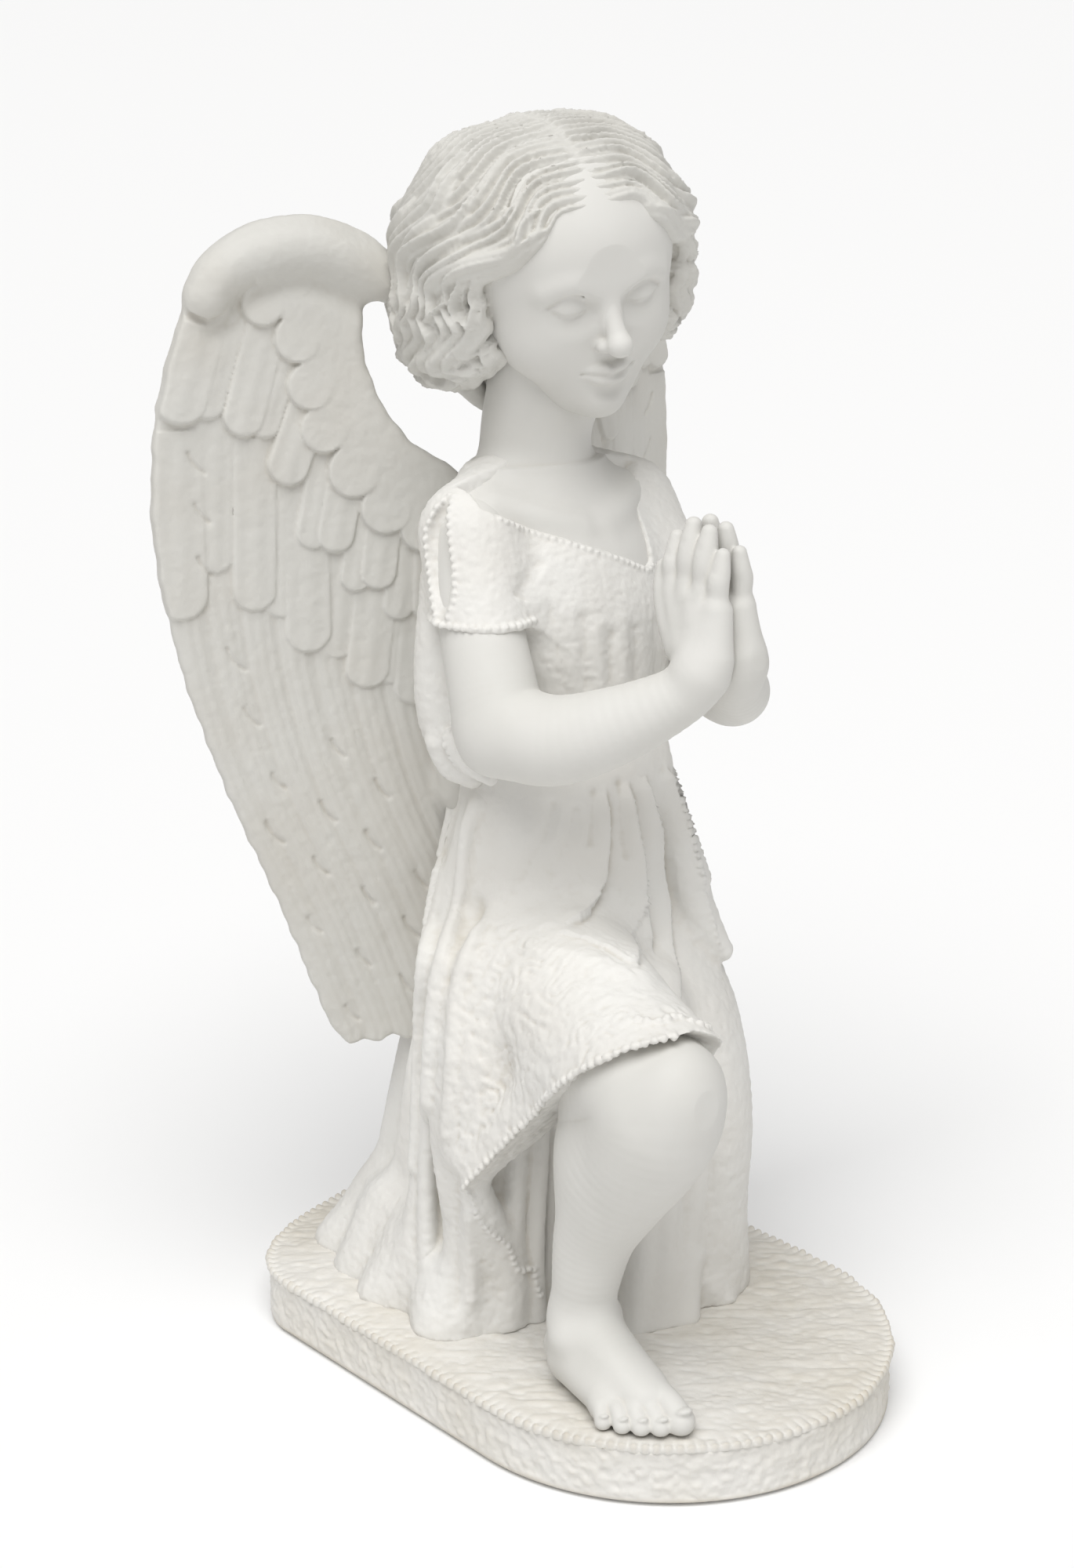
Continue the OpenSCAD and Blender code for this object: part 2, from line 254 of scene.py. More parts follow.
class Clay:
    """A block of space as a grid of distances, negative inside the sculpture."""

    def __init__(self, low, high, step):
        self.step = step * rough
        self.low = np.array(low, float)
        counts = np.ceil((np.array(high, float) - self.low) / self.step).astype(int) + 1
        self.axes = [(self.low[i] + self.step * np.arange(counts[i])).astype(np.float32) for i in range(3)]
        self.d = np.full(counts, FAR, np.float32)

    def apply(self, shape, k, mix):
        low, high, distance = shape
        pad = k + 2.5 * self.step
        cut = tuple(slice(np.searchsorted(self.axes[i], low[i] - pad),
                          np.searchsorted(self.axes[i], high[i] + pad)) for i in range(3))
        here = self.d[cut]
        if here.size:
            x = self.axes[0][cut[0]][:, None, None]
            y = self.axes[1][cut[1]][None, :, None]
            z = self.axes[2][cut[2]][None, None, :]
            self.d[cut] = mix(here, distance(x, y, z).astype(np.float32), k)

    def add(self, *shapes, k=0.0):
        for shape in shapes:
            self.apply(shape, k, smooth_min)

    def carve(self, *shapes, k=0.0):
        for shape in shapes:
            self.apply(shape, k, lambda here, cut, k: smooth_max(here, -cut, k))

    def keep(self, shape, k=0.0):
        """Removes everything outside the shape, within the shape's box."""
        self.apply(shape, k, smooth_max)

    def at(self, p):
        """The distance at any places, between the cells."""
        q = (np.asarray(p, float) - self.low) / self.step
        cell = np.clip(np.floor(q).astype(int), 0, np.array(self.d.shape) - 2)
        f = np.clip(q - cell, 0, 1)
        total = 0
        for corner in range(8):
            bit = np.array([(corner >> i) & 1 for i in range(3)])
            weight = np.where(bit, f, 1 - f).prod(1)
            total = total + weight * self.d[tuple((cell + bit).T)]
        return total

    def touch(self, start, way, reach=90.0):
        """Where a ray first meets the surface, or None."""
        way = np.array(way, float) / np.linalg.norm(way)
        stride = 0.4
        t = np.arange(0, reach, stride)
        d = self.at(np.array(start, float) + t[:, None] * way)
        hit = np.nonzero((d[1:] < 0) & (d[:-1] >= 0))[0]
        if not len(hit):
            return None
        i = hit[0]
        return np.array(start, float) + (t[i] + stride * d[i] / (d[i] - d[i + 1])) * way

    def beads(self, starts, way, pitch, radius, k=0.4):
        """A row of beads along the line that rays from the starts draw on the surface."""
        hits = [h for h in (self.touch(start, way) for start in starts) if h is not None]
        if len(hits) < 2:
            return
        for p in resample(hits, pitch):
            self.add(egg(p, radius), k=k)

    def drape(self, line, radius, sink, k=2.5):
        """A soft ridge along the line, laid on the surface as seen from the side that it was drawn from."""
        hits = [self.touch(q - 60 * DRAWN_FROM, DRAWN_FROM, 120) for q in curve(line, 4)]
        hits = [h for h in hits if h is not None]
        taper = np.sin(np.pi * np.linspace(0.12, 0.88, len(hits)))
        self.add(limb([[*(h + sink * DRAWN_FROM), radius * (0.55 + 0.45 * t)] for h,
                       t in zip(hits, taper)]), k=k)

    def points_and_quads(self):
        band = 3 * self.step
        grid = openvdb.FloatGrid(band)
        grid.copyFromArray(np.clip(self.d, -band, band), ijk=(0, 0, 0), tolerance=0.0)
        points, quads = grid.convertToQuads(isovalue=0.0)
        return self.low + points.astype(float) * self.step, quads.astype(np.int64)


# ---------------------------------------------------------------- meshes

def edges_of(quads):
    e = np.vstack([quads[:, [0, 1]], quads[:, [1, 2]], quads[:, [2, 3]], quads[:, [3, 0]]])
    return np.unique(np.sort(e, 1), axis=0)


def averaged(values, edges, rounds):
    """values smoothed over the mesh."""
    a, b = edges[:, 0], edges[:, 1]
    n = len(values)
    count = np.maximum(np.bincount(a, minlength=n) + np.bincount(b, minlength=n), 1)[:, None]
    out = values
    for _ in range(rounds):
        total = np.stack([np.bincount(a, out[b, i], n) + np.bincount(b, out[a, i],
                                                                     n) for i in range(out.shape[1])], 1)
        out = (out + total / count) / 2
    return out


def normals_of(points, quads):
    n = np.cross(points[quads[:, 2]] - points[quads[:, 0]], points[quads[:, 3]] - points[quads[:, 1]])
    total = np.zeros_like(points)
    for corner in range(4):
        for i in range(3):
            total[:, i] += np.bincount(quads[:, corner], n[:, i], len(points))
    return total / np.maximum(np.linalg.norm(total, axis=1, keepdims=True), 1e-9)


def main_part(points, quads):
    """The mesh without loose crumbs."""
    edges = edges_of(quads)
    label = np.arange(len(points))
    while True:
        low = np.minimum(label[edges[:, 0]], label[edges[:, 1]])
        new = label.copy()
        np.minimum.at(new, edges[:, 0], low)
        np.minimum.at(new, edges[:, 1], low)
        np.minimum.at(new, label, new)
        new = new[new]
        if (new == label).all():
            break
        label = new
    sizes = np.bincount(label)
    kept = sizes[label] > 0.05 * sizes.max()
    number = np.cumsum(kept) - 1
    return points[kept], number[quads[kept[quads[:, 0]]]]


def hollows(points, quads, fine=6, broad=24):
    """How deep each point lies in a crease: 0 on flat places and 1 in a sharp groove. The resins paint shade
    and a warm stain by it.
    """
    edges = edges_of(quads)
    n = normals_of(points, quads)
    small = ((averaged(points, edges, fine) - points) * n).sum(1) / 0.35
    large = ((averaged(points, edges, broad) - points) * n).sum(1) / 0.9
    return np.clip(0.4 * small + 0.8 * large, -1, 1.5)


FOLD_STRENGTH = 1.4


def folds(points, normals, drawn):
    """How far folds stand out from cloth. Each is (kind, width, height, line): a ridge, a groove, or the
    edge of a lapped fold that drops away on the right of the line's run, as seen from outside."""
    total = np.zeros(len(points))
    for kind, width, height, line in drawn:
        c = curve(line, 5)
        reach = 4.5 * width + 3
        near = np.nonzero(((points > c.min(0) - reach - 6) & (points < c.max(0) + reach + 6)).all(1)
                          & (normals @ DRAWN_FROM < 0.35))[0]
        if not len(near):
            continue
        p = points[near]
        best = np.full(len(p), FAR)
        sign = np.ones(len(p))
        run = np.zeros(len(p))
        for i, (a, b) in enumerate(zip(c[:-1], c[1:])):
            e = b - a
            length = np.linalg.norm(e)
            e = e / length
            v = p - a
            depth = v @ DRAWN_FROM
            t = np.clip((v - 0.97 * depth[:, None] * DRAWN_FROM) @ e, 0, length)
            v = v - t[:, None] * e
            depth = v @ DRAWN_FROM
            d = np.sqrt(np.maximum((v ** 2).sum(1) - 0.97 * depth ** 2, 0))
            closer = d < best
            best = np.where(closer, d, best)
            run = np.where(closer, (i + t / length) / (len(c) - 1), run)
            if kind == "lap":
                flat = v - depth[:, None] * DRAWN_FROM
                sign = np.where(closer, np.sign((np.cross(e, flat) * normals[near]).sum(1)), sign)
        ends = ease(run / 0.12) * ease((1 - run) / 0.12)
        if kind == "ridge":
            shape = np.exp(-(best / width) ** 2)
        elif kind == "groove":
            shape = -np.exp(-(best / width) ** 2)
        else:
            u = best * sign
            high = np.exp(-(best / (1.6 * width)) ** 2)
            low = -0.75 * np.exp(-(best / width) ** 2)
            shape = high + (low - high) * ease(u / 0.9 + 0.5)
        facing = ease((0.35 - normals[near] @ DRAWN_FROM) / 0.4)
        total[near] += FOLD_STRENGTH * height * ends * facing * shape
    return total


def make_mesh(name, points, quads, stain_and_shade=None):
    mesh = bpy.data.meshes.new(name)
    mesh.vertices.add(len(points))
    mesh.vertices.foreach_set("co", np.ascontiguousarray(points, np.float32).ravel())
    mesh.loops.add(quads.size)
    mesh.loops.foreach_set("vertex_index", quads.astype(np.int32).ravel())
    mesh.polygons.add(len(quads))
    mesh.polygons.foreach_set("loop_start", np.arange(0, quads.size, 4, dtype=np.int32))
    mesh.update(calc_edges=True)
    mesh.validate()
    mesh.shade_smooth()
    if stain_and_shade is not None:
        # the crease measure, which sets the painted crease shade and warm stain
        attribute = mesh.attributes.new("hollow", "FLOAT", "POINT")
        attribute.data.foreach_set("value", stain_and_shade.astype(np.float32))
    piece = bpy.data.objects.new(name, mesh)
    bpy.context.scene.collection.objects.link(piece)
    return piece


def cast(name, clay, nodes, material, relief=None, place=None):
    """Turns the clay into a piece that stands for the given CAD nodes."""
    points, quads = main_part(*clay.points_and_quads())
    volume = (points[quads[:, 0]] * np.cross(points[quads[:, 1]], points[quads[:, 2]])).sum()
    if volume < 0:
        quads = quads[:, ::-1]
    if relief:
        points = points + relief(points, normals_of(points, quads))[:, None] * normals_of(points, quads)
    # the crease measure, which sets the painted shade and warm stain in the creases
    stain_and_shade = hollows(points, quads)
    if place is not None:
        points = place(points)
        if np.linalg.det(np.array([place(np.eye(3)[[i]])[0] - place(np.zeros((1, 3)))[0]
                                   for i in range(3)])) < 0:
            quads = quads[:, ::-1]
    piece = make_mesh(name, as_built(points), quads, stain_and_shade)
    piece.data.materials.append(material)
    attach(piece, "root")
    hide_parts(*nodes)
    return piece


# ---------------------------------------------------------------- materials

def node_material(name):
    material = bpy.data.materials.new(name)
    material.use_nodes = True
    tree = material.node_tree
    shader = tree.nodes["Principled BSDF"]
    return material, tree, shader


def linked(tree, kind, inputs=(), **settings):
    """A new node with its settings, and its inputs linked from sockets or set to values."""
    node = tree.nodes.new(kind)
    for key, value in settings.items():
        setattr(node, key, value)
    for key, value in dict(inputs).items():
        if isinstance(value, bpy.types.NodeSocket):
            tree.links.new(value, node.inputs[key])
        else:
            node.inputs[key].default_value = value
    return node


def blend_colours(tree, amount, low, high):
    node = linked(tree, "ShaderNodeMix", {0: amount, 6: low, 7: high}, data_type="RGBA")
    return node.outputs[2]


def noise_map(tree, place, size, detail, **more):
    """Noise with so many bumps to the metre."""
    inputs = {"Vector": place, "Scale": size, "Detail": detail, **more}
    return linked(tree, "ShaderNodeTexNoise", inputs).outputs["Fac"]


def ranged(tree, value, low, high, to_low, to_high):
    """The value, which runs from low to high, made to run from to_low to to_high."""
    return linked(tree, "ShaderNodeMapRange", {0: value, 1: low, 2: high, 3: to_low, 4: to_high}).outputs[0]


def roughen(tree, shader, height, strength, depth):
    """A fine bump in the shading."""
    bump = linked(tree, "ShaderNodeBump", {"Height": height, "Strength": strength, "Distance": depth})
    tree.links.new(bump.outputs[0], shader.inputs["Normal"])


def resin_material(name, clean, stained, crease_stain_and_shade, grain=0.5, roughness=0.62):
    """Matte ivory resin: mottled, with a warm stain and painted shade in the creases, and a fine sandy
    surface.
    """
    material, tree, shader = node_material(name)
    place = linked(tree, "ShaderNodeNewGeometry").outputs["Position"]
    hollow = linked(tree, "ShaderNodeAttribute", attribute_name="hollow").outputs["Fac"]
    clouds = noise_map(tree, place, 26.0, 5.0)
    specks = noise_map(tree, place, 420.0, 3.0)
    worn = blend_colours(tree, ranged(tree, clouds, 0.40, 0.72, 0.0, 0.8), (*clean, 1), (*stained, 1))
    # painted shade with a warm stain, darkest in the deepest creases and broken up by the clouds
    crease = ranged(tree, hollow, 0.12, 1.5, 0.0, 1.0)
    broken = ranged(tree, clouds, 0.3, 0.7, 0.35, 1.0)
    amount = linked(tree, "ShaderNodeMath", {0: crease, 1: broken}, operation="MULTIPLY", use_clamp=True)
    colour = blend_colours(tree, amount.outputs[0], worn, (*crease_stain_and_shade, 1))
    tree.links.new(colour, shader.inputs["Base Color"])
    uneven = ranged(tree, specks, 0.3, 0.7, roughness - 0.07, roughness + 0.1)
    tree.links.new(uneven, shader.inputs["Roughness"])
    shader.inputs["Specular IOR Level"].default_value = 0.32
    roughen(tree, shader, specks, grain, 0.00035)
    return material


def steel_material():
    """Brushed steel with fine lines along the pins."""
    material, tree, shader = node_material("pin_steel")
    place = linked(tree, "ShaderNodeNewGeometry").outputs["Position"]
    drawn = linked(tree, "ShaderNodeMapping", {"Vector": place, "Scale": (900.0, 900.0, 40.0)}).outputs[0]
    lines = noise_map(tree, drawn, 1.0, 3.0)
    colour = blend_colours(tree, lines, (0.50, 0.50, 0.52, 1), (0.68, 0.68, 0.70, 1))
    tree.links.new(colour, shader.inputs["Base Color"])
    shader.inputs["Metallic"].default_value = 1.0
    tree.links.new(ranged(tree, lines, 0.0, 1.0, 0.28, 0.5), shader.inputs["Roughness"])
    roughen(tree, shader, lines, 0.2, 0.0001)
    return material


def felt_material():
    """Dark grey felt with a fibrous surface."""
    material, tree, shader = node_material("base_felt")
    place = linked(tree, "ShaderNodeNewGeometry").outputs["Position"]
    fibres = noise_map(tree, place, 1400.0, 6.0, Distortion=2.0)
    colour = blend_colours(tree, fibres, (0.035, 0.036, 0.04, 1), (0.13, 0.13, 0.14, 1))
    tree.links.new(colour, shader.inputs["Base Color"])
    shader.inputs["Roughness"].default_value = 0.95
    shader.inputs["Sheen Weight"].default_value = 0.4
    roughen(tree, shader, fibres, 0.8, 0.0006)
    return material


IVORY = (0.74, 0.73, 0.70)
WARM = (0.70, 0.68, 0.64)
# colours for the creases, here and last in each resin below: a warm stain darkened as painted shade
CREASE = (0.50, 0.46, 0.385)
# The skin, hair and wing resins are darker copies of the cloth's ivory: painted shade on the face, hair and
# wings.
skin_resin = resin_material("smooth_resin", (0.67, 0.66, 0.63), (0.62, 0.61, 0.575), CREASE, grain=0.10)
cloth_resin = resin_material("cloth_resin", IVORY, WARM, CREASE, grain=0.35)
hair_resin = resin_material("hair_resin", (0.63, 0.62, 0.585), (0.58, 0.565, 0.525), (0.36, 0.33, 0.27),
                            grain=0.25)
wing_resin = resin_material("wing_resin", (0.62, 0.61, 0.575), (0.58, 0.56, 0.515), (0.40, 0.36, 0.29),
                            grain=0.2)
plinth_resin = resin_material("plinth_resin", (0.72, 0.705, 0.67), (0.65, 0.62, 0.555), (0.50, 0.45, 0.365),
                              grain=0.6)


# ---------------------------------------------------------------- lofted bodies

def loft(ovals, pleats=None):
    """A body through level ovals, from a list of [height, x, y, x radius, y radius]; pleats(angle, height)
    gives how far the cloth stands out. Angle 0 is the front and 90 degrees the figure's right."""
    o = np.array(ovals, float)
    level = np.arange(o[0, 0], o[-1, 0] + 0.5, 1.0)
    reach = 9
    kernel = np.hanning(2 * reach + 1)
    kernel = kernel / kernel.sum()
    form = [np.convolve(np.pad(np.interp(level, o[:, 0], o[:, i]), reach, mode="edge"), kernel,
                        "valid") for i in range(1, 5)]
    bulk = np.array([o[:, 3].max(), o[:, 4].max()]) + 8

    def distance(x, y, z):
        cx, cy, rx, ry = [np.interp(z.ravel(), level, f).reshape(z.shape) for f in form]
        u, v = (x - cx), (y - cy)
        k0 = np.sqrt((u / rx) ** 2 + (v / ry) ** 2)
        k1 = np.sqrt((u / rx ** 2) ** 2 + (v / ry ** 2) ** 2)
        d = k0 * (k0 - 1) / np.maximum(k1, 1e-6)
        if pleats:
            angle = np.degrees(np.arctan2(-u, -v))
            d = d - pleats(angle, z)
        return np.maximum(d, np.maximum(level[0] - z, z - level[-1]))
    low = [o[:, 1].min() - bulk[0], o[:, 2].min() - bulk[1], level[0]]
    high = [o[:, 1].max() + bulk[0], o[:, 2].max() + bulk[1], level[-1]]
    return np.array(low), np.array(high), distance


# ---------------------------------------------------------------- skirt

SUNK = -1.6                                              # how far the skirt goes into the rippled plinth
HEM = [[-11, 57], [-16, 63], [-30, 80], [-48, 99.5], [-64, 114], [-80, 125.5], [-92, 130.5], [-130, 131]]


def hem_height(y):
    h = np.array(HEM)[::-1]
    return np.interp(y, h[:, 0], h[:, 1])


def stippled(p, strength=0.22, size=2.0, seed=1):
    """The pecked surface of carved cloth."""
    return strength * (noise(p, size, seed) + 0.6 * noise(p, size / 2, seed + 1))


def back_pleats(angle, height):
    """Even folds over the back of the skirt, deeper towards the plinth."""
    behind = ease((np.abs(angle) - 105) / 25)
    deep = 0.9 + 2.4 * ease((170 - height) / 150)
    return behind * deep * np.cos(np.radians(angle) * 13 + 0.4 * np.sin(height / 30))


SKIRT_OVALS = [
    [-2, 0, 44, 46, 56], [10, 0, 43, 45, 53], [34, 2, 40, 42, 48], [80, 3, 34, 41, 41],
    [130, 2, 23, 40, 37], [172, 2, 14, 36, 33], [204, 2, 12, 32, 28],
]

SKIRT_FOLDS = [
    # the curl over the thigh, and the hanging corner beside it
    ["lap", 4.0, 1.5, [[-8, -18, 184], [-7, -18, 173], [-6, -17, 162], [-7, -17, 154], [-14, -23, 150],
        [-22, -29, 149], [-30, -33, 148], [-38, -31, 146]]],
    ["lap", 3.6, 1.8, [[1, -18, 184], [4, -18, 170], [8, -17, 156], [10.5, -15.5, 145], [13, -14, 133],
        [15, -15, 120]]],
    ["lap", 3.2, 1.2, [[6, -26, 146], [-8, -38, 143], [-20, -49, 141], [-29, -58, 139.5]]],
    ["lap", 2.0, 1.0, [[-28, -58, 139], [-33, -56, 140], [-35, -50, 143], [-38, -40, 145],
        [-42, -32, 145]]],
    ["lap", 3.4, 1.5, [[9, -18, 184], [12, -17, 175], [17, -16, 163], [20, -15, 150], [22, -15, 138],
        [20, -20, 120], [18, -26, 104]]],
    ["lap", 3.2, 1.3, [[20, -16, 184], [24, -17, 175], [28, -18, 164], [33, -19, 151], [38, -20, 138]]],
    ["groove", 1.8, 0.8, [[-12, -17, 184], [-13, -17, 172], [-13, -16, 162]]],
    ["groove", 1.6, 0.7, [[-3, -18, 186], [-2, -18, 176], [0, -17, 164], [2, -17, 154]]],
    ["groove", 2.4, 0.8, [[-24, -12, 182], [-27, -12, 172], [-34, -11, 160], [-42, -8, 150]]],
    ["groove", 3.0, 0.7, [[-18, -16, 180], [-24, -17, 166], [-33, -18, 156]]],
    ["ridge", 2.6, 0.9, [[-46, -20, 138], [-40, -34, 139], [-32, -48, 137], [-22, -60, 132]]],
    # the folds beside the wing
    ["groove", 2.6, 1.8, [[-34, 21, 184], [-35, 23, 168], [-37, 25, 152], [-40, 25, 134], [-40, 29, 118],
        [-40, 33, 100], [-40, 36, 80], [-41, 37, 58], [-42, 37, 36], [-44, 35, 10]]],
    ["groove", 2.2, 2.0, [[-30, 32, 182], [-29, 36, 168], [-31, 40, 148], [-34, 42, 130], [-36, 43, 112],
        [-38, 43, 94]]],
    ["groove", 2.4, 1.6, [[-38, 44, 100], [-39, 43, 82], [-40, 41, 66], [-42, 39, 48], [-43, 37, 28],
        [-44, 35, 12]]],
    ["groove", 2.2, 1.8, [[-27, 44, 180], [-25, 48, 160], [-28, 51, 140], [-31, 52, 120], [-34, 53, 96],
        [-35, 54, 76]]],
    ["ridge", 3.2, 2.0, [[-36, 14, 182], [-38, 16, 166], [-41, 14, 148], [-43, 17, 132], [-42, 24, 112],
        [-41, 28, 92], [-43, 28, 68], [-46, 27, 44], [-47, 26, 20], [-48, 24, 2]]],
    ["groove", 2.6, 2.2, [[-40, 4, 150], [-42, 6, 142], [-44, 10, 134], [-45, 14, 124], [-44, 15, 110],
        [-43, 17, 94], [-45, 17, 76], [-49, 14, 56], [-50, 13, 36], [-52, 10, 14]]],
    ["ridge", 2.8, 1.5, [[-44, -2, 146], [-47, 3, 132], [-47, 9, 116], [-47, 11, 96], [-53, 6, 76],
        [-57, 2, 56]]],
    ["groove", 2.4, 1.3, [[-60, -6, 66], [-59, -3, 52], [-55, 2, 34], [-53, 4, 18], [-53, 3, 4]]],
    ["ridge", 2.6, 1.2, [[-57, -8, 50], [-54, -5, 36], [-51, -2, 22], [-50, 0, 6]]],
    # the cloth at the inner side of the left leg
    ["groove", 2.4, 1.0, [[8, -38, 84], [10, -40, 62], [9, -41, 42], [4, -42, 18]]],
    ["groove", 2.6, 0.9, [[24, -34, 96], [26, -37, 66], [22, -38, 36], [20, -36, 16]]],
]


SIDE_RIDGES = [
    [3.6, [[-37, 10, 176], [-38, 15, 162], [-41, 14, 148], [-43, 17, 132], [-42, 24, 112], [-41, 28, 92],
        [-43, 28, 68], [-46, 27, 44], [-47, 26, 20]]],
    [3.2, [[-32, 28, 178], [-33, 30, 166], [-35, 33, 148], [-38, 34, 130], [-39, 36, 110], [-39, 38, 90],
        [-40, 39, 66], [-41, 40, 44]]],
    [2.8, [[-45, 0, 140], [-47, 3, 130], [-47, 8, 116], [-47, 10, 98], [-50, 8, 84], [-53, 6, 72]]],
]


def stroke(clay, line, k=4.0):
    clay.add(limb(curve(line, 5)), k=k)


def sculpt_skirt():
    clay = Clay([-75, -112, -3], [66, 114, 206], 0.8)
    clay.add(loft(SKIRT_OVALS, back_pleats))
    # the left thigh, with the knee on the plinth
    stroke(clay, [[18, 14, 122, 30], [27, -4, 92, 28], [30, -12, 60, 26], [31, -14, 26, 23],
                  [31, -15, -4, 24]], 10)
    # the right thigh under the cloth
    stroke(clay, [[-12, 14, 118, 32], [-24, -16, 117, 28], [-33, -46, 112, 26], [-39, -74, 107.5, 24.5],
                  [-41, -96, 104, 23.3]], 9)
    # the cloth that hangs outside the thigh, to the corner
    stroke(clay, [[-38, -62, 106, 21], [-42, -46, 102, 17], [-47, -33, 90, 12.5], [-52, -22, 76, 9.5],
                  [-57.5, -14, 63, 5.8]], 7)
    stroke(clay, [[-34, 2, 116, 24], [-44, -6, 98, 18], [-51, -6, 78, 12], [-55, -8, 63, 6.5]], 7)
    def under_hem(x, y, z):
        hem = hem_height(y) - 0.55 * np.maximum(x + 35, 0)
        return np.maximum(np.maximum((z - hem) * 0.72, x + 13.5), y + 10.2)
    clay.carve((np.array([-110.0, -120.0, -4.0]), np.array([-14.0, -9.5, 134.0]), under_hem), k=0.8)
    # the edge that runs from the corner to the plinth, and the cloth behind it
    stroke(clay, [[-55, -7, 62, 5.2], [-53.5, -7, 54, 5.4], [-49.5, -6.5, 45, 5.6], [-43.5, -4.8, 35, 6],
                  [-39.5, -4.5, 26, 6], [-36.5, -3.8, 14, 6], [-38, -1.5, -2, 7]], 3)
    stroke(clay, [[-48, 6, 100, 9.5], [-51.5, 4, 78, 9], [-50.5, 4, 54, 8.5], [-47, 5, 34, 9],
                  [-46, 7, 14, 9.5], [-48, 9, -2, 12.5]], 7)
    stroke(clay, [[-41, 26, 120, 6], [-42, 28, 80, 7], [-44, 28, 40, 8], [-47, 28, -2, 11]], 8)
    # the lining behind the shin
    stroke(clay, [[-31, 6, 104, 18], [-33, 8, 60, 16], [-34, 11, 20, 15], [-35, 13, -2, 16]], 3)
    for x, y in ((-22, -8), (-30, -11.5), (-37.5, -9)):
        stroke(clay, [[x + 1, y - 1, 92, 3.8], [x, y, 60, 3.2], [x + 0.5, y + 2.5, 26, 3.0],
                      [x + 3, y + 6, -2, 4.2]], 3.5)
    # tongues of cloth that spread on the plinth
    for tongue in ([[-38, 38, 16, 14], [-46, 39, 6, 12], [-52, 41, -3, 11.5]],
                   [[-34, 58, 16, 15], [-42, 60, 6, 12], [-46, 62, -4, 12]],
                   [[-22, 74, 16, 15], [-34, 79, 6, 11], [-40, 83, -3, 11]],
                   [[-8, 84, 12, 13], [-16, 90, 3, 11], [-20, 93, -3, 10]],
                   [[8, 86, 12, 12], [12, 95, -1, 9]], [[30, 70, 14, 12], [40, 78, -1, 9]],
                   [[-46, 14, 8, 12], [-53, 12, 2, 9], [-56, 10, -2, 8]]):
        stroke(clay, tongue, 8)
    # the layer that hangs from the waist on the left, with its pointed end
    stroke(clay, [[21, -6, 188, 6], [26, -8, 166, 7], [31, -11, 146, 7.5], [37, -16, 126, 6.5],
                  [42, -21, 117, 3.6]], 4)
    # cloth between the legs
    stroke(clay, [[2, -18, 104, 20], [5, -21, 60, 16], [6, -23, 24, 15], [6, -25, -3, 16]], 6)
    stroke(clay, [[15, -26, 96, 6], [18, -29, 62, 5.5], [20, -31, 30, 5.5], [15, -34, 12, 5],
                  [11, -39, -1, 4.5]], 4)
    stroke(clay, [[-4, -28, 90, 6], [-4, -31, 50, 5], [-6, -32, 16, 5], [-7, -32, -2, 6]], 4)
    stroke(clay, [[22, -32, 8, 5], [30, -37, -2, 4.5]], 3)
    for radius, line in SIDE_RIDGES:
        clay.drape(line, radius, 1.4)
    # beaded edges: the hem over the thigh, its inner side, the edge to the plinth, and the left layer
    hem = [[-100, y, hem_height(y) + 0.6] for y in np.arange(-92, -12.5, 0.5)]
    clay.beads(hem, (1, 0, 0), 3.1, 1.4, 0.1)
    far_hem = [[x, -150, hem_height(-96) + 0.6 - 0.55 * max(x + 35, 0)] for x in np.arange(-46, -18, 0.5)]
    clay.beads(far_hem, (0, 1, 0), 3.1, 1.4, 0.1)
    clay.beads([[-100, -10.6, h] for h in np.arange(58, 2, -0.5)], (1, 0, 0), 2.7, 1.15)
    clay.beads([[25 + 0.22 * (180 - h), -60, h] for h in np.arange(176, 118, -0.5)], (0, 1, 0), 2.8, 0.9)
    clay.keep(above(SUNK, [-80, -120, -6], [70, 120, 208]))
    return clay


def skirt_relief(points, normals):
    x, y, h = points.T
    lace = ease((-x - 14) / 16) * ease((4 - y) / 14) * ease((h - 50) / 16) * ease((150 - h) / 14)
    swirls = 0.20 * np.cos(11 * noise(points, 7.0, 7)) * ease((h - 60) / 30)
    pecked = 0.10 + 0.14 * ease((-x - 30) / 14) + 0.12 * ease((x - 16) / 14) + 0.06 * lace
    return stippled(points, 1.0) * pecked + lace * swirls + folds(points, normals, SKIRT_FOLDS)


# ---------------------------------------------------------------- bodice

CHEST_OVALS = [
    [196, 2, 12, 31, 28], [206, 2, 12, 34, 30], [222, 1, 12, 36, 31], [240, 0, 13, 37, 30],
    [256, 0, 17, 37, 28], [270, 0, 22, 33, 21], [279, 0, 25, 23, 13],
]
NECKLINE = [[-60, 280], [-44, 275], [-38, 271], [-22, 264], [-4, 257], [6, 253], [15, 249], [18.5, 250],
            [21, 259], [23, 270], [31, 276], [60, 282]]


def neck_height(x):
    n = np.array(NECKLINE)
    return np.interp(x, n[:, 0], n[:, 1])


def sleeve(line, hem):
    """A sleeve that ends level at the hem."""
    low, high, round_part = limb(line)
    return low, high, lambda x, y, z: np.maximum(round_part(x, y, z), hem + 0.06 * (y + 4) - z)


# the slit over the right shoulder: [height, middle y, half width]
SLIT = [[238.5, 5.5, 1.5], [241, 6, 3.6], [246, 7, 5.4], [254, 9.5, 6.0], [264, 12.5, 5.2], [272, 13, 2.6],
        [276, 13, 0.8]]


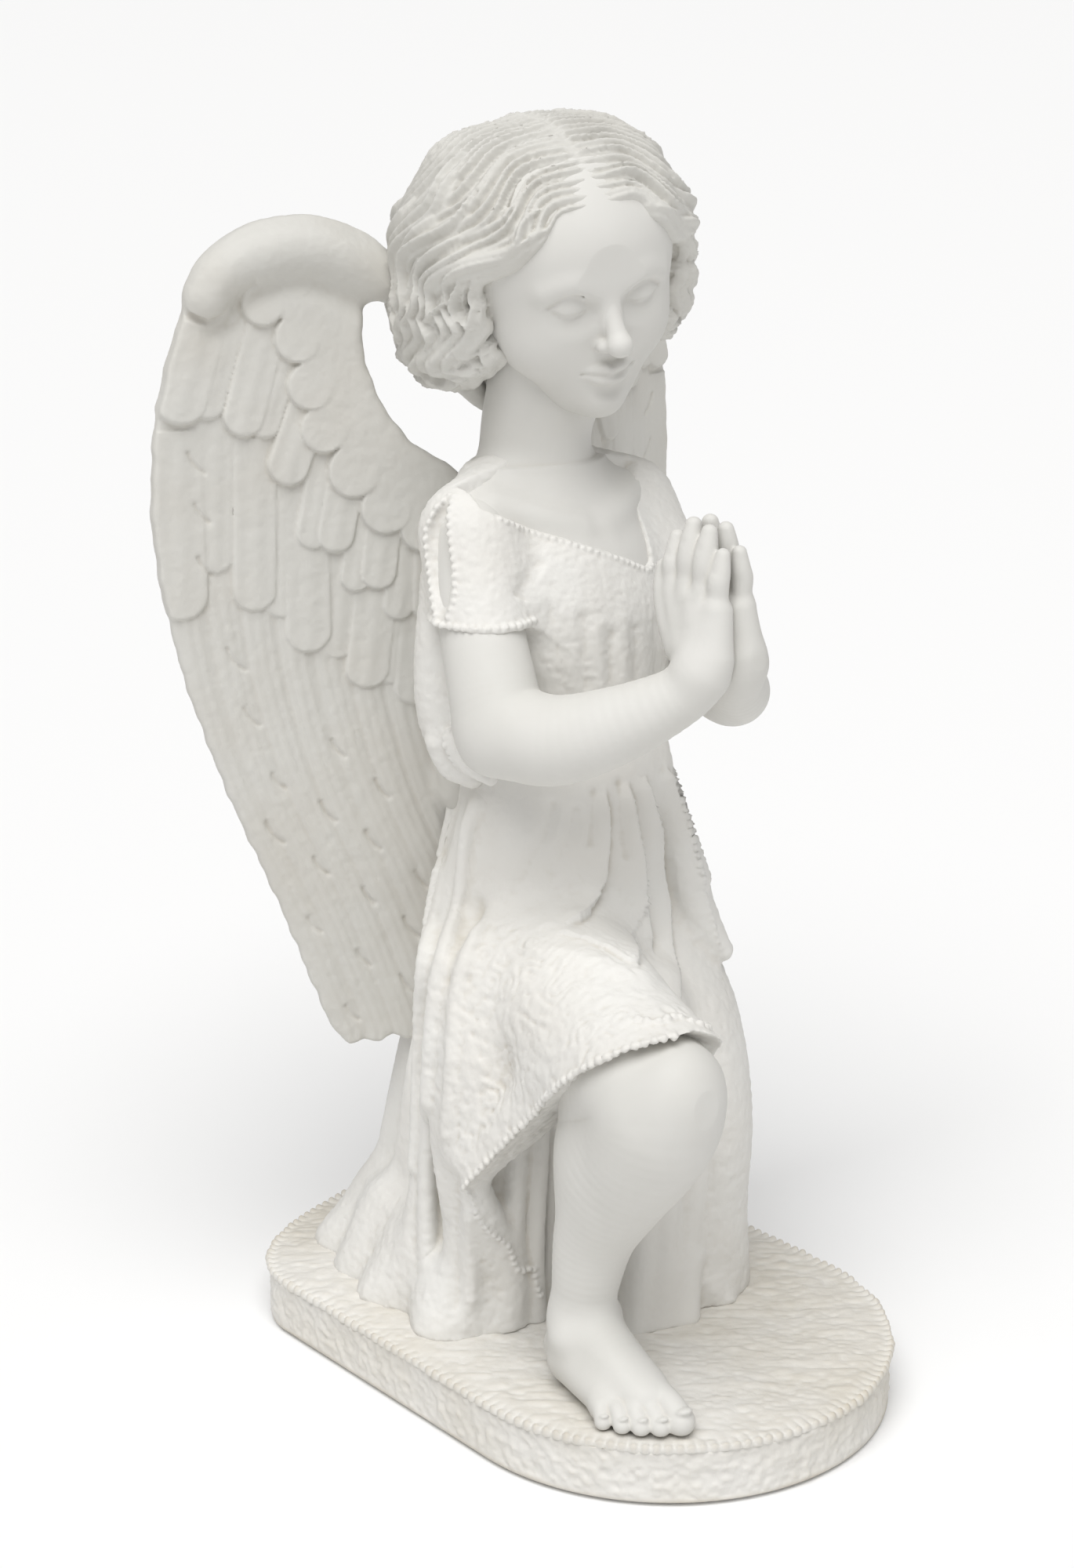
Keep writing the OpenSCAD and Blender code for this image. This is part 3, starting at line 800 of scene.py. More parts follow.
def sculpt_bodice():
    clay = Clay([-66, -36, 176], [66, 66, 290], 0.7)
    clay.add(loft(CHEST_OVALS))
    clay.add(limb([[-35, 15, 262, 14], [-16, 24, 268, 16], [16, 26, 268, 16], [34, 20, 262, 13.5]]), k=6)
    clay.add(sleeve([[-35, 15, 262, 14.8], [-38, 9, 248, 15.4], [-39.5, 5, 236, 16], [-41, 0, 225, 16]],
                    237), k=9)
    clay.add(sleeve([[34, 20, 262, 14.2], [36.5, 9, 247, 14.6], [38, 4, 238, 15], [39, 0, 228, 15]], 241),
             k=9)
    # the back panel, which hangs behind the arms and is tucked in at the waist
    for side, x in ((-1, -40.0), (1, 40.0)):
        stroke(clay, [[x, 21, 246, 8.5], [x, 22, 224, 10], [x - side * 1, 22, 206, 10.5],
                      [x - side * 4, 20, 192, 9], [x - side * 7, 18, 184, 5]], 4)
    stroke(clay, [[-45, 13, 198, 3.2], [-41, 10, 190, 3.0], [-36, 5, 186, 2.6]], 3)
    stroke(clay, [[-46, 20, 196, 3.0], [-41, 20, 187, 3.0], [-35, 16, 184, 2.6]], 3)
    # the neckline, which the skin shows through
    opening = (np.array([-48.0, -34, 246]), np.array([36.0, 20, 292]), lambda x, y,
               z: np.maximum(np.maximum(neck_height(x) - z, y - 12 - (z - 260) * 0.25) * 0.85,
                             np.abs(x + 4) - 36.5))
    clay.carve(opening, k=0.8)
    # the slit over the right shoulder
    clay.carve(limb(curve([[-47, 13, 274, 1.5], [-51, 12.5, 265, 4.2], [-54.3, 9.5, 254, 5.4],
                           [-56.8, 7, 246, 5.0], [-57.5, 6, 240.5, 3.0]])), k=0.6)
    # beaded edges: neckline, slit, sleeve hems and the back panel
    clay.beads([[x, -60, neck_height(x) - 1.2] for x in np.arange(-36, 19, 0.5)], (0, 1, 0), 2.4, 0.95)
    height, middle, half = np.array(SLIT).T
    for side in (-1, 1):
        starts = [[-90, np.interp(h, height, middle) + side * np.interp(h, height, half), h]
                  for h in np.arange(height[0], height[-1], 0.5)]
        clay.beads(starts, (1, 0, 0), 2.6, 1.0)
    placed = []
    for a in (-1, 1):
        ring = [[a * 39 + 40 * math.cos(t), 5 + 40 * math.sin(t),
                 (237 if a < 0 else 241) + 1.2] for t in np.radians(np.arange(0, 360, 3))]
        hits = [clay.touch(start, [a * 39 - start[0], 5 - start[1], 0]) for start in ring]
        hits = [hit for hit in hits if hit is not None and (hit[0] - a * 30) * a > 0 and hit[1] < 16]
        for place in hits:
            if not placed or min(np.linalg.norm(place - other) for other in placed) > 2.4:
                placed.append(place)
    for place in placed:
        clay.add(egg(place, 1.15), k=0.5)
    clay.beads([[-90, 13.2, h] for h in np.arange(236, 188, -0.5)], (1, 0, 0), 2.6, 1.1)
    return clay


BODICE_FOLDS = [
    ["groove", 2.4, 0.7, [[-34, -6, 244], [-32, -9, 252], [-28, -10, 259]]],
    ["groove", 2.2, 0.8, [[-28, -14, 246], [-28, -17, 232], [-26, -18, 218], [-24, -17, 204]]],
    ["groove", 2.0, 0.6, [[-17, -17, 242], [-17, -18, 226], [-16, -18, 206]]],
    ["groove", 2.0, 0.6, [[-7, -19, 236], [-7, -19, 220], [-6, -18, 204]]],
    ["groove", 2.0, 0.6, [[3, -19, 236], [4, -19, 220], [5, -18, 204]]],
    ["groove", 2.0, 0.6, [[13, -18, 236], [14, -18, 220], [14, -17, 204]]],
    ["ridge", 2.2, 0.5, [[-12, -18, 240], [-12, -19, 222], [-11, -18, 204]]],
    ["ridge", 2.2, 0.5, [[-2, -19, 240], [-2, -19, 222], [-1, -18, 204]]],
    ["groove", 1.3, 0.7, [[-22, -17, 214], [-21, -17, 204], [-20, -17, 196]]],
    ["groove", 1.3, 0.7, [[-12, -18, 214], [-12, -18, 204], [-11, -18, 196]]],
    ["groove", 1.3, 0.7, [[-2, -18, 216], [-2, -18, 204], [-1, -18, 196]]],
    ["groove", 1.3, 0.7, [[9, -18, 216], [9, -18, 204], [10, -18, 196]]],
]


def bodice_relief(points, normals):
    return stippled(points, 0.20, 1.6, 3) + folds(points, normals, BODICE_FOLDS)


# ---------------------------------------------------------------- arms and hands

PALM_X = -2.0


def sculpt_arm(side):
    if side < 0:
        clay = Clay([-66, -82, 190], [PALM_X + 3, 30, 282], 0.6)
        arm = [[-36, 14, 262, 12], [-40, 6, 242, 12.8], [-43.5, -4, 222, 13.6], [-44.5, -12, 209, 14.4],
               [-38, -26, 205, 14], [-26, -42, 211, 11.8], [-14, -57, 221, 9.0], [-10, -62, 228, 8.4]]
    else:
        clay = Clay([PALM_X - 3, -82, 190], [66, 34, 282], 0.6)
        arm = [[34, 18, 262, 12], [38, 4, 242, 12.3], [39, -10, 224, 12.8], [37, -21, 213, 13],
               [29, -35, 212, 12], [18, -49, 216, 10.2], [8, -58, 223, 8.6], [5, -62, 229, 8.0]]
    clay.add(limb(curve(arm)))
    hand(clay, side)
    if side > 0:
        return clay
    # the point of the elbow
    clay.add(egg([-50, -10, 203], [7, 7, 8]), k=9)
    return clay


def hand(clay, side):
    """A flat hand against the other one, the fingers up."""
    x = PALM_X + side * 4.2
    clay.add(limb([[x + side * 4.5, -62, 229, 7.6], [x + side * 1.5, -60, 240, 6.6],
                   [x + side * 0.6, -57, 249, 5.4]]), k=5)
    clay.add(limb([[x + side * 2.2, -66, 234, 5.5], [x + side * 0.6, -65, 247, 4.8]]), k=4)
    clay.add(limb([[x + side * 2.5, -54, 236, 5.5], [x + side, -49.5, 247, 5.0],
                   [x + side * 0.5, -48, 253, 4.2]]), k=4)
    # knuckles and fingers: [root y, root height, tip y, tip height, radius]
    fingers = [[-47.0, 250, -46.2, 266.5, 3.7], [-53.2, 251.5, -53.0, 271.2, 3.85],
               [-59.5, 251, -59.7, 270.0, 3.7], [-65.2, 248, -65.6, 264.0, 3.3]]
    for y0, h0, y1, h1, r in fingers:
        mid_y, mid_h = (y0 + y1) / 2, (h0 + h1) / 2
        line = [[x + side * 1.1, y0, h0 - 7, r * 0.9], [x + side * 1.2, y0, h0, r * 1.04],
                [x + side * 0.7, (y0 + mid_y) / 2, (h0 + mid_h) / 2, r * 0.97],
                [x + side * 0.7, mid_y, mid_h, r * 1.02], [x, y1 * 0.8 + y0 * 0.2, h1 - 5, r * 0.93],
                [x - side * 0.8, y1, h1, r * 0.68]]
        clay.add(limb(curve(line, 4)), k=1.3)
        # the nail
        clay.carve(egg([x + side * r * 0.98, y1, h1 - 2.2], [0.5, r * 0.62, 2.9]), k=0.5)
    # the thumb, on the chest side
    clay.add(limb(curve([[x + side * 3, -52, 234, 4.8], [x + side * 2.2, -46.0, 243, 4.0],
                         [x + side * 1.2, -43.0, 251, 3.6], [x + side * 0.5, -42.2, 257, 2.8]], 4)), k=1.4)
    low = [PALM_X - 40, -90, 224]
    high = [PALM_X + 40, -30, 285]
    clay.keep(half_space([PALM_X + side * 0.15, 0, 0], (-side, 0, 0), low, high), k=0.3)


# ---------------------------------------------------------------- leg and foot

def sculpt_leg():
    clay = Clay([-70, -104, -3], [-10, -18, 134], 0.6)
    clay.add(limb(curve([[-34, -46, 112, 19], [-38, -66, 108, 20.5], [-40, -77, 103, 21],
                         [-40.5, -73, 90, 19.5], [-40, -60, 70, 16.6], [-40.5, -51, 52, 13.2],
                         [-41.5, -47.5, 34, 10.8], [-41.5, -46, 22, 9.6], [-41.5, -45, 10, 9.2]])))
    clay.add(egg([-38, -52, 82], [15, 15, 22]), k=12)           # calf
    clay.add(egg([-41, -90, 113], [11, 8, 11]), k=10)           # kneecap
    clay.add(egg([-52, -49, 17], [4, 5, 5]), k=5)               # ankle bones
    clay.add(egg([-32, -47, 19], [4, 5, 5]), k=5)
    clay.add(egg([-41, -39, 7], [7.5, 9, 8]), k=5)             # heel
    # instep and ball of the foot
    clay.add(limb(curve([[-42, -46, 20, 10], [-43, -58, 14, 10], [-44.5, -70, 8.5, 8.5],
                         [-45.5, -78, 6, 6.5]])), k=6)
    clay.add(limb([[-38, -52, 10, 8], [-39.5, -74, 6.5, 6.5], [-41, -80, 5.5, 6]]), k=5)
    clay.add(limb([[-47, -48, 8, 8], [-52, -66, 5, 5.5], [-55, -71, 4, 4.5]]), k=5)
    # toes: [root x, root y, tip x, tip y, radius]
    toes = [[-40.5, -80, -42.0, -92.0, 4.6], [-45.6, -79, -47.6, -89.0, 3.3],
            [-49.6, -76.5, -52.0, -85.0, 3.1], [-53.2, -73.5, -55.6, -80.4, 2.9],
            [-56.2, -69.5, -58.6, -75.0, 2.7]]
    for x0, y0, x1, y1, r in toes:
        mx, my = (x0 + x1) / 2, (y0 + y1) / 2
        clay.add(limb(curve([[x0, y0, r + 2.6, r * 0.95], [mx, my, r + 2.2, r * 0.92],
                             [x1, y1, r * 0.75, r]], 4)), k=0.9)
        # the nail
        along = np.array([x1 - x0, y1 - y0, 0.0])
        along /= np.linalg.norm(along)
        nail = np.array([x1, y1, r * 0.75]) + along * (0.25 * r) + np.array([0, 0, 0.80 * r])
        tilt = turn("Z", math.degrees(math.atan2(along[0], -along[1]))) @ turn("X", -28)
        clay.add(egg(nail, [0.62 * r, 0.75 * r, 0.30 * r], tilt), k=0.15)
    clay.keep(above(0, [-75, -110, -6], [0, -10, 140]))
    return clay


# ---------------------------------------------------------------- wings
# A wing is drawn in its own plane: s outwards from the back, n towards the front, h up.

WING_ROOT = np.array([-10.0, 50.0])
WING_TURN = math.radians(18.5)

WING_OUTLINE = [
    [24, 345], [31, 351], [42, 355], [56, 356], [69, 353], [80, 344], [88, 333], [95, 318], [100, 300],
    [102.5, 281], [103, 262], [100.5, 240], [97.5, 226], [95, 214], [90, 198], [84, 180], [77.5, 163],
    [70, 145], [63, 127], [55, 105], [50, 92], [46.5, 85.5], [43, 82.5], [38, 83.5], [33, 81.5], [28, 83.5],
    [20, 82], [10, 92], [4, 120], [-3, 170], [-5, 225], [-4, 262], [4, 275.5], [15, 282.5], [22, 289],
    [27.5, 297], [32, 307], [34, 317], [33.5, 327], [30, 332], [25, 336],
]
OUTER_EDGE = [[86, 47], [106, 55], [128, 63], [146, 70], [163, 77.5], [180, 84], [198, 90], [214, 95],
              [240, 100.5]]
RIDGE = [[83.5, 1, 334, 7.2], [79, 1, 340, 8.0], [70, 1, 345, 8.6], [58, 1, 347.5, 8.4],
         [47, 1, 346.5, 8.0], [38, 1, 343, 7.4], [30, 1, 338.5, 6.8], [22, 1, 334, 6.2]]


def wing_place(side):
    def place(p):
        s, n, h = p[:, 0], p[:, 1], p[:, 2]
        x = WING_ROOT[0] - s * math.cos(WING_TURN) - n * math.sin(WING_TURN)
        y = WING_ROOT[1] + s * math.sin(WING_TURN) - n * math.cos(WING_TURN)
        return np.stack([x if side < 0 else -x, y, h], 1)
    return place


def feather(s, h, tip, half, length, lean, lift):
    """Height of one feather over the wing: it rises towards its rounded tip and ends there in a step.
    The lean is the way back to its root, in degrees from straight up towards the body."""
    e = np.array([-math.sin(math.radians(lean)), math.cos(math.radians(lean))])
    back = (s - tip[0]) * e[0] + (h - tip[1]) * e[1]
    across = (s - tip[0]) * e[1] - (h - tip[1]) * e[0]
    round_end = np.sqrt(across ** 2 + (np.maximum(half * 0.9 - back, 0) / 0.9) ** 2)
    edge = half - np.where(back < half * 0.9, round_end, np.abs(across))
    f = across / half
    height = lift * (0.35 + 0.65 * np.clip(1 - back / length, 0, 1)) - 0.38 * f ** 2
    height = height + 0.10 * np.cos(f * 7.5 + back * 0.02) * ease(back / 6)
    inside = (edge > 0) & (back < length)
    return np.where(inside, height * ease(edge / 1.5 + 0.08), 0.0)


# Rows of feathers: [tip s, tip height, half width, length, lean]
LOWER_COVERTS = [
    [95.3, 233, 8.4, 60, 0], [84.5, 247, 7.0, 52, 2], [71.8, 234, 7.0, 56, 2], [62.5, 231, 7.0, 50, 1],
    [54.1, 219, 7.6, 52, 0], [45, 216, 7.0, 46, 4], [35.8, 205.5, 7.2, 44, 8], [27.5, 206, 6.6, 44, 8],
    [20.5, 199, 6.2, 44, 6], [10, 200, 6.0, 44, 4],
]
MIDDLE_COVERTS = [
    [96.1, 295, 8.6, 46, 18], [86.5, 296, 6.4, 38, 17], [75.6, 290, 6.6, 44, 17], [68.5, 289, 6.0, 42, 19],
    [62.2, 274, 6.8, 42, 22], [53.2, 252.6, 6.6, 40, 12], [46.0, 251, 6.2, 40, 12],
    [39.2, 237.7, 6.4, 40, 11], [31.8, 238, 6.0, 38, 8], [24.7, 227.4, 6.2, 38, 5], [14, 226, 6.0, 38, 2],
]
BAND_SCALLOPS = [[66.5, 330.5, 7.2], [55.5, 338, 6.6], [55.8, 320, 8.4], [51.9, 305, 8.4],
                 [47.9, 291.5, 8.6], [38.4, 277.5, 9.4], [28.1, 265, 9.2], [16, 258, 8.6]]
BAND_INSIDE = [[73, 344], [66, 332], [59, 322], [54, 305], [48, 290], [38, 276], [27, 263], [12, 254],
               [-10, 252], [-10, 300], [40, 350]]


OUTER_NICKS = [[91.5, 286], [90, 270], [89.5, 253], [81, 223], [76, 203]]


def wing_feathers(s, h):
    """Relief of the whole wing, in millimetres above its plane."""
    # the long feathers, side by side and parallel to the outer edge
    o = np.array(OUTER_EDGE, float)
    outer = np.interp(h, o[:, 0], o[:, 1])
    strip = (outer - s + 1.5 * np.sin(h / 23.0)) / (9.2 + 0.012 * (h - 80))
    f = strip - np.floor(strip)
    relief = 0.75 * (1 - np.abs(2 * f - 1) ** 3) - 0.35 * f
    relief = relief + 0.10 * np.cos(f * 19 + np.floor(strip) * 2) * ease(f / 0.2) * ease((1 - f) / 0.2)
    relief = relief * ease((250 - h) / 12)
    for lift, row in ((1.8, LOWER_COVERTS), (2.8, MIDDLE_COVERTS)):
        for i, (tip_s, tip_h, half, length, lean) in enumerate(row):
            under = i % 2                                    # every other feather lies under its neighbours
            relief = np.maximum(relief, feather(s, h, (tip_s, tip_h), half + 0.8 - under, length, lean,
                                                lift - 0.7 * under))
    # the smooth band inside, with its scalloped edge
    band = -outline_distance(s, h, BAND_INSIDE)
    relief = np.maximum(relief, 3.0 * ease(band / 1.5 + 0.08))
    for centre_s, centre_h, r in BAND_SCALLOPS:
        gap = r - np.hypot(s - centre_s, h - centre_h)
        bulge = 3.1 + 0.35 * np.clip((centre_h - h) / r, -1, 1)
        relief = np.maximum(relief, bulge * ease(gap / 1.5 + 0.08))
    return relief


def sculpt_wing():
    clay = Clay([-8, -13, 76], [108, 17, 362], 0.58)
    s = clay.axes[0][:, None].astype(float)
    h = clay.axes[2][None, :].astype(float)
    outline = curve(WING_OUTLINE + WING_OUTLINE[:1], 3)[:-1]
    edge = outline_distance(s, h, outline)
    edge = edge + 0.35 * np.sin(h / 2.3 + s / 3.1) * np.sin(h / 5.9)
    relief = wing_feathers(s, h)
    # a hollow under the rolled leading edge
    ridge = curve(RIDGE)
    from_ridge = np.min([np.hypot(s - q[0], h - q[2]) for q in ridge], axis=0)
    relief = relief - 2.6 * np.exp(-((from_ridge - 10.5) / 4.0) ** 2) * ease((90 - s) / 14)
    # short slanted nicks in the long feathers
    rng = np.random.default_rng(11)
    o = np.array(OUTER_EDGE, float)
    nicks = list(OUTER_NICKS)
    for i in range(15):
        nick_h = 98 + 6.4 * i + rng.uniform(-2, 2)
        column = (i * 2) % 5
        nicks.append([np.interp(nick_h, o[:, 0], o[:, 1]) - 7 - 10.6 * column + rng.uniform(-1.5, 1.5),
                      nick_h])
    for start_s, start_h in nicks:
        if start_s < 16:
            continue
        e = np.array([-0.60, -0.80])
        length = rng.uniform(6.5, 9.5)
        t = np.clip((s - start_s) * e[0] + (h - start_h) * e[1], 0, length)
        bow = 0.09 * t * (length - t) / 2
        gap = np.hypot(s - start_s - t * e[0] + bow * e[1], h - start_h - t * e[1] - bow * e[0])
        relief = relief - 0.75 * np.exp(-(gap / 0.8) ** 2)
    base_t = 2.2 + 3.0 * ease((45 - s) / 45)
    relief = np.maximum(relief, 0.9 - base_t)
    front = base_t + relief
    rear = base_t + 0.7 * relief
    rounding = 1.6 + 2.6 * ease((46 - s) / 12) * ease((h - 262) / 14)
    n = clay.axes[1][None, :, None]
    solid = smooth_max(n - front[:, None, :], -n - rear[:, None, :], 0.5)
    k = rounding[:, None, :]
    gap = edge[:, None, :]
    blend = np.maximum(k - np.abs(solid - gap), 0) / k
    solid = np.maximum(solid, gap) + blend * blend * k / 4
    clay.d = np.minimum(clay.d, solid.astype(np.float32))
    clay.add(limb(ridge), k=5)
    clay.carve(limb([[95, 2.6, 333, 1.2], [90.5, 3.4, 328.6, 1.3], [84, 4.2, 325.6, 1.4],
                     [77, 4.4, 328.2, 1.2]]), k=0.8)
    # the root, let into the back
    clay.add(limb([[5, 8, 170, 8], [3, 9, 200, 9], [2, 9, 232, 9], [3, 9, 254, 7]]), k=4)
    return clay


def wing_relief(points, normals):
    return 0.10 * noise(points, 3.0, 21) + 0.07 * noise(points, 1.3, 22)


# ---------------------------------------------------------------- head
# The face and hair are made upright round the head's own centre, then tilted into place.

HEAD_CENTRE = np.array([2.0, 18.0, 340.0])
HEAD_TILT = turn("Z", -13) @ turn("X", 12) @ turn("Y", -9)


def head_place(p):
    return p @ HEAD_TILT.T + HEAD_CENTRE


def across_face(left):
    """A line from the figure's right to its left, given as its left half from the middle outwards."""
    return [[-x, *rest] for x, *rest in reversed(left) if x] + left


def sculpt_face():
    clay = Clay([-42, -56, -46], [42, 48, 46], 0.5)
    clay.add(egg([0, 6, 12], [35, 42, 33]))
    clay.add(egg([0, -12, 12], [29, 23, 22]), k=10)             # forehead
    clay.add(egg([0, -9, -6], [28.5, 26, 27]), k=10)            # middle of the face
    for side in (-1, 1):
        clay.add(egg([side * 14, -20, -12], [11, 10, 11]), k=9)  # cheeks
    clay.add(egg([0, -20, -24], [14, 12, 12]), k=9)             # mouth
    clay.add(egg([0, -18, -31], [12, 11, 8]), k=8)              # jaw
    clay.add(egg([0, -27.5, -33.5], [5.5, 4.5, 4.5]), k=6)      # chin
    for side in (-1, 1):
        clay.carve(egg([side * 11.5, -38.5, 0.5], [8.0, 6.0, 5.0]), k=7)
        clay.add(limb(curve([[side * 4.5, -33.5, 5.5, 2.2], [side * 11, -33.5, 8.0, 2.2],
                             [side * 19, -29.5, 6.0, 2.0]], 4)), k=5)   # brow
    # nose
    clay.add(limb(curve([[0, -31.5, 6.5, 3.0], [0, -34.5, 0, 2.7], [0, -38.2, -6.5, 3.0],
                         [0, -40.6, -10.6, 3.5]], 5)), k=3.5)
    clay.add(egg([0, -41.0, -11.2], [3.7, 3.5, 3.3]), k=2)
    for side in (-1, 1):
        clay.add(egg([side * 3.7, -36.6, -12.0], [2.0, 2.9, 2.0]), k=1.8)
        clay.carve(egg([side * 1.9, -39.2, -14.2], [0.9, 1.4, 0.8]), k=0.8)
    # eyes, looking down
    eye_r, upper_r, lower_r, half_lid = 7.4, 8.35, 8.0, 6.6
    for side in (-1, 1):
        c = np.array([side * 11.6, -26.2, 0.6])
        clay.add(egg(c, eye_r), k=0.8)

        def lid(radius, edge, c=c):
            def distance(x, y, z):
                u = (x - c[0]) / half_lid
                shell = np.sqrt((x - c[0]) ** 2 + (y - c[1]) ** 2 + (z - c[2]) ** 2) - radius
                return smooth_max(shell, edge(u, z) * 0.9, 0.5)
            return c - 9.5, c + 9.5, distance
        clay.add(lid(upper_r, lambda u, z, side=side: 0.9 - 2.0 * (1 - u * u) + 0.35 * u * side - z), k=1.0)
        clay.add(lid(lower_r, lambda u, z: z + 1.4 + 2.6 * (1 - u * u)), k=1.2)
        crease = [[c[0] + x, y, z, r] for x, y, z, r in across_face([[3, -34.4, 4.6, 0.45],
                                                                     [7.2, -31.2, 1.4, 0.25]])]
        clay.carve(limb(curve(crease, 5)), k=1.2)
    # lips
    upper_lip = [[0, -34.8, -20.5, 1.7], [1.6, -35.0, -20.0, 1.8], [4.5, -33.8, -20.4, 1.5],
                 [8.2, -30.6, -21.6, 0.7]]
    lower_lip = [[0, -34.5, -24.2, 2.2], [3.6, -33.9, -23.8, 1.8], [7.2, -31.2, -22.4, 0.7]]
    between = [[0, -36.9, -22.4, 0.4], [4.5, -35.6, -22.0, 0.4], [8.8, -31.8, -21.6, 0.35]]
    clay.add(limb(curve(across_face(upper_lip), 4)), k=1.6)
    clay.add(limb(curve(across_face(lower_lip), 4)), k=1.6)
    clay.carve(limb(curve(across_face(between), 5)), k=0.9)
    clay.carve(egg([0, -35.6, -28.6], [5.5, 2.4, 2.0]), k=3.5)
    clay.carve(limb([[0, -36.6, -15.6, 0.5], [0, -36.4, -18.2, 0.6]]), k=2.5)
    return clay


CHEST_BOTTOM = 236                                       # where the chest ends, inside the bodice


def sculpt_neck():
    clay = Clay([-48, -24, 226], [48, 58, 336], 0.8)
    chest = [[h, x, y, rx - 1.4, ry - 1.4] for h, x, y, rx, ry in CHEST_OVALS]
    clay.add(loft(chest))
    clay.add(limb([[-34, 16, 262, 12.6], [-16, 24, 267, 14.4], [16, 26, 267, 14.4], [33, 20, 262, 12]]),
             k=8)
    clay.add(limb(curve([[0, 24, 262, 22], [0, 26, 278, 18.4], [0, 25, 292, 17.6], [1, 22, 306, 18.5],
                         [1, 22, 326, 20]])), k=9)
    # faint collar bones
    for side in (-1, 1):
        clay.add(limb(curve([[side * 5, -0.5, 262, 2.6], [side * 16, 3, 266.0, 2.6],
                             [side * 29, 11, 270, 2.6]], 4)), k=7)
    clay.keep(above(CHEST_BOTTOM, [-50, -30, 220], [50, 60, 330]))
    return clay


HAIR_MASS = [
    egg([0, 6, 11], [41.5, 44, 35.5]), egg([0, 10, 2], [43, 42, 39]), egg([-33, 10, -9], [12.5, 22, 23]),
    egg([33, 10, -9], [11.5, 21, 22]), egg([-22, 24, -22], [18, 18, 16]), egg([22, 24, -22], [17, 18, 16]),
    egg([0, 31, -14], [26, 16, 22]),
]
MASS_BLEND = 6.0


def mass_distance(x, y, z):
    d = HAIR_MASS[0][2](x, y, z)
    for mass in HAIR_MASS[1:]:
        d = smooth_min(d, mass[2](x, y, z), MASS_BLEND)
    return d


def hair_surface(directions):
    """Where rays from the head's centre leave the hair's mass."""
    d = directions / np.linalg.norm(directions, axis=1, keepdims=True)
    reach = np.full(len(d), 75.0)
    for _ in range(60):
        p = d * reach[:, None]
        reach = reach - np.clip(mass_distance(p[:, 0], p[:, 1], p[:, 2]), -2, 2) * 0.7
    return d * reach[:, None]


# Guide lines of the hair on the right side, as directions from the head's centre, front to back
SWEPT = np.array([
    [[0.00, -0.70, 0.71], [-0.30, -0.70, 0.62], [-0.56, -0.62, 0.46], [-0.78, -0.46, 0.26],
        [-0.92, -0.20, 0.02], [-0.93, 0.06, -0.24], [-0.84, 0.20, -0.48]],
    [[0.00, -0.46, 0.88], [-0.40, -0.46, 0.77], [-0.72, -0.36, 0.54], [-0.91, -0.18, 0.24],
        [-0.96, 0.10, -0.06], [-0.88, 0.32, -0.34], [-0.74, 0.40, -0.56]],
    [[0.00, -0.14, 1.00], [-0.45, -0.10, 0.88], [-0.79, 0.02, 0.56], [-0.94, 0.18, 0.20],
        [-0.90, 0.38, -0.12], [-0.78, 0.50, -0.40], [-0.62, 0.52, -0.62]],
    [[0.00, 0.20, 0.98], [-0.45, 0.26, 0.84], [-0.76, 0.36, 0.50], [-0.84, 0.46, 0.14],
        [-0.76, 0.58, -0.18], [-0.64, 0.64, -0.45], [-0.50, 0.60, -0.66]],
    [[0.00, 0.55, 0.83], [-0.38, 0.61, 0.69], [-0.60, 0.69, 0.36], [-0.64, 0.75, 0.04],
        [-0.56, 0.78, -0.25], [-0.45, 0.77, -0.50], [-0.33, 0.70, -0.68]],
    [[0.00, 0.86, 0.50], [-0.20, 0.92, 0.32], [-0.32, 0.93, 0.06], [-0.30, 0.93, -0.16],
        [-0.23, 0.92, -0.34], [-0.15, 0.88, -0.52], [-0.06, 0.80, -0.66]],
    [[0.00, 0.97, 0.24], [-0.06, 0.99, 0.08], [-0.07, 0.99, -0.08], [-0.07, 0.98, -0.22],
        [-0.06, 0.95, -0.36], [-0.04, 0.90, -0.52], [-0.01, 0.82, -0.66]],
])
HANGING = np.array([
    [[-0.84, -0.46, 0.30], [-0.91, -0.42, -0.04], [-0.90, -0.38, -0.26], [-0.80, -0.38, -0.48],
        [-0.68, -0.36, -0.62]],
    [[-0.93, -0.20, 0.26], [-0.97, -0.16, -0.20], [-0.91, -0.12, -0.42], [-0.80, -0.12, -0.62],
        [-0.66, -0.14, -0.74]],
    [[-0.95, 0.14, 0.20], [-0.94, 0.16, -0.30], [-0.86, 0.18, -0.52], [-0.74, 0.18, -0.70],
        [-0.58, 0.16, -0.80]],
    [[-0.86, 0.46, 0.10], [-0.80, 0.48, -0.36], [-0.71, 0.48, -0.58], [-0.58, 0.44, -0.74],
        [-0.42, 0.38, -0.84]],
    [[-0.58, 0.76, -0.16], [-0.55, 0.74, -0.40], [-0.48, 0.70, -0.60], [-0.38, 0.62, -0.76],
        [-0.26, 0.52, -0.84]],
    [[-0.18, 0.93, -0.16], [-0.17, 0.89, -0.42], [-0.14, 0.82, -0.62], [-0.10, 0.72, -0.78],
        [-0.05, 0.60, -0.86]],
])


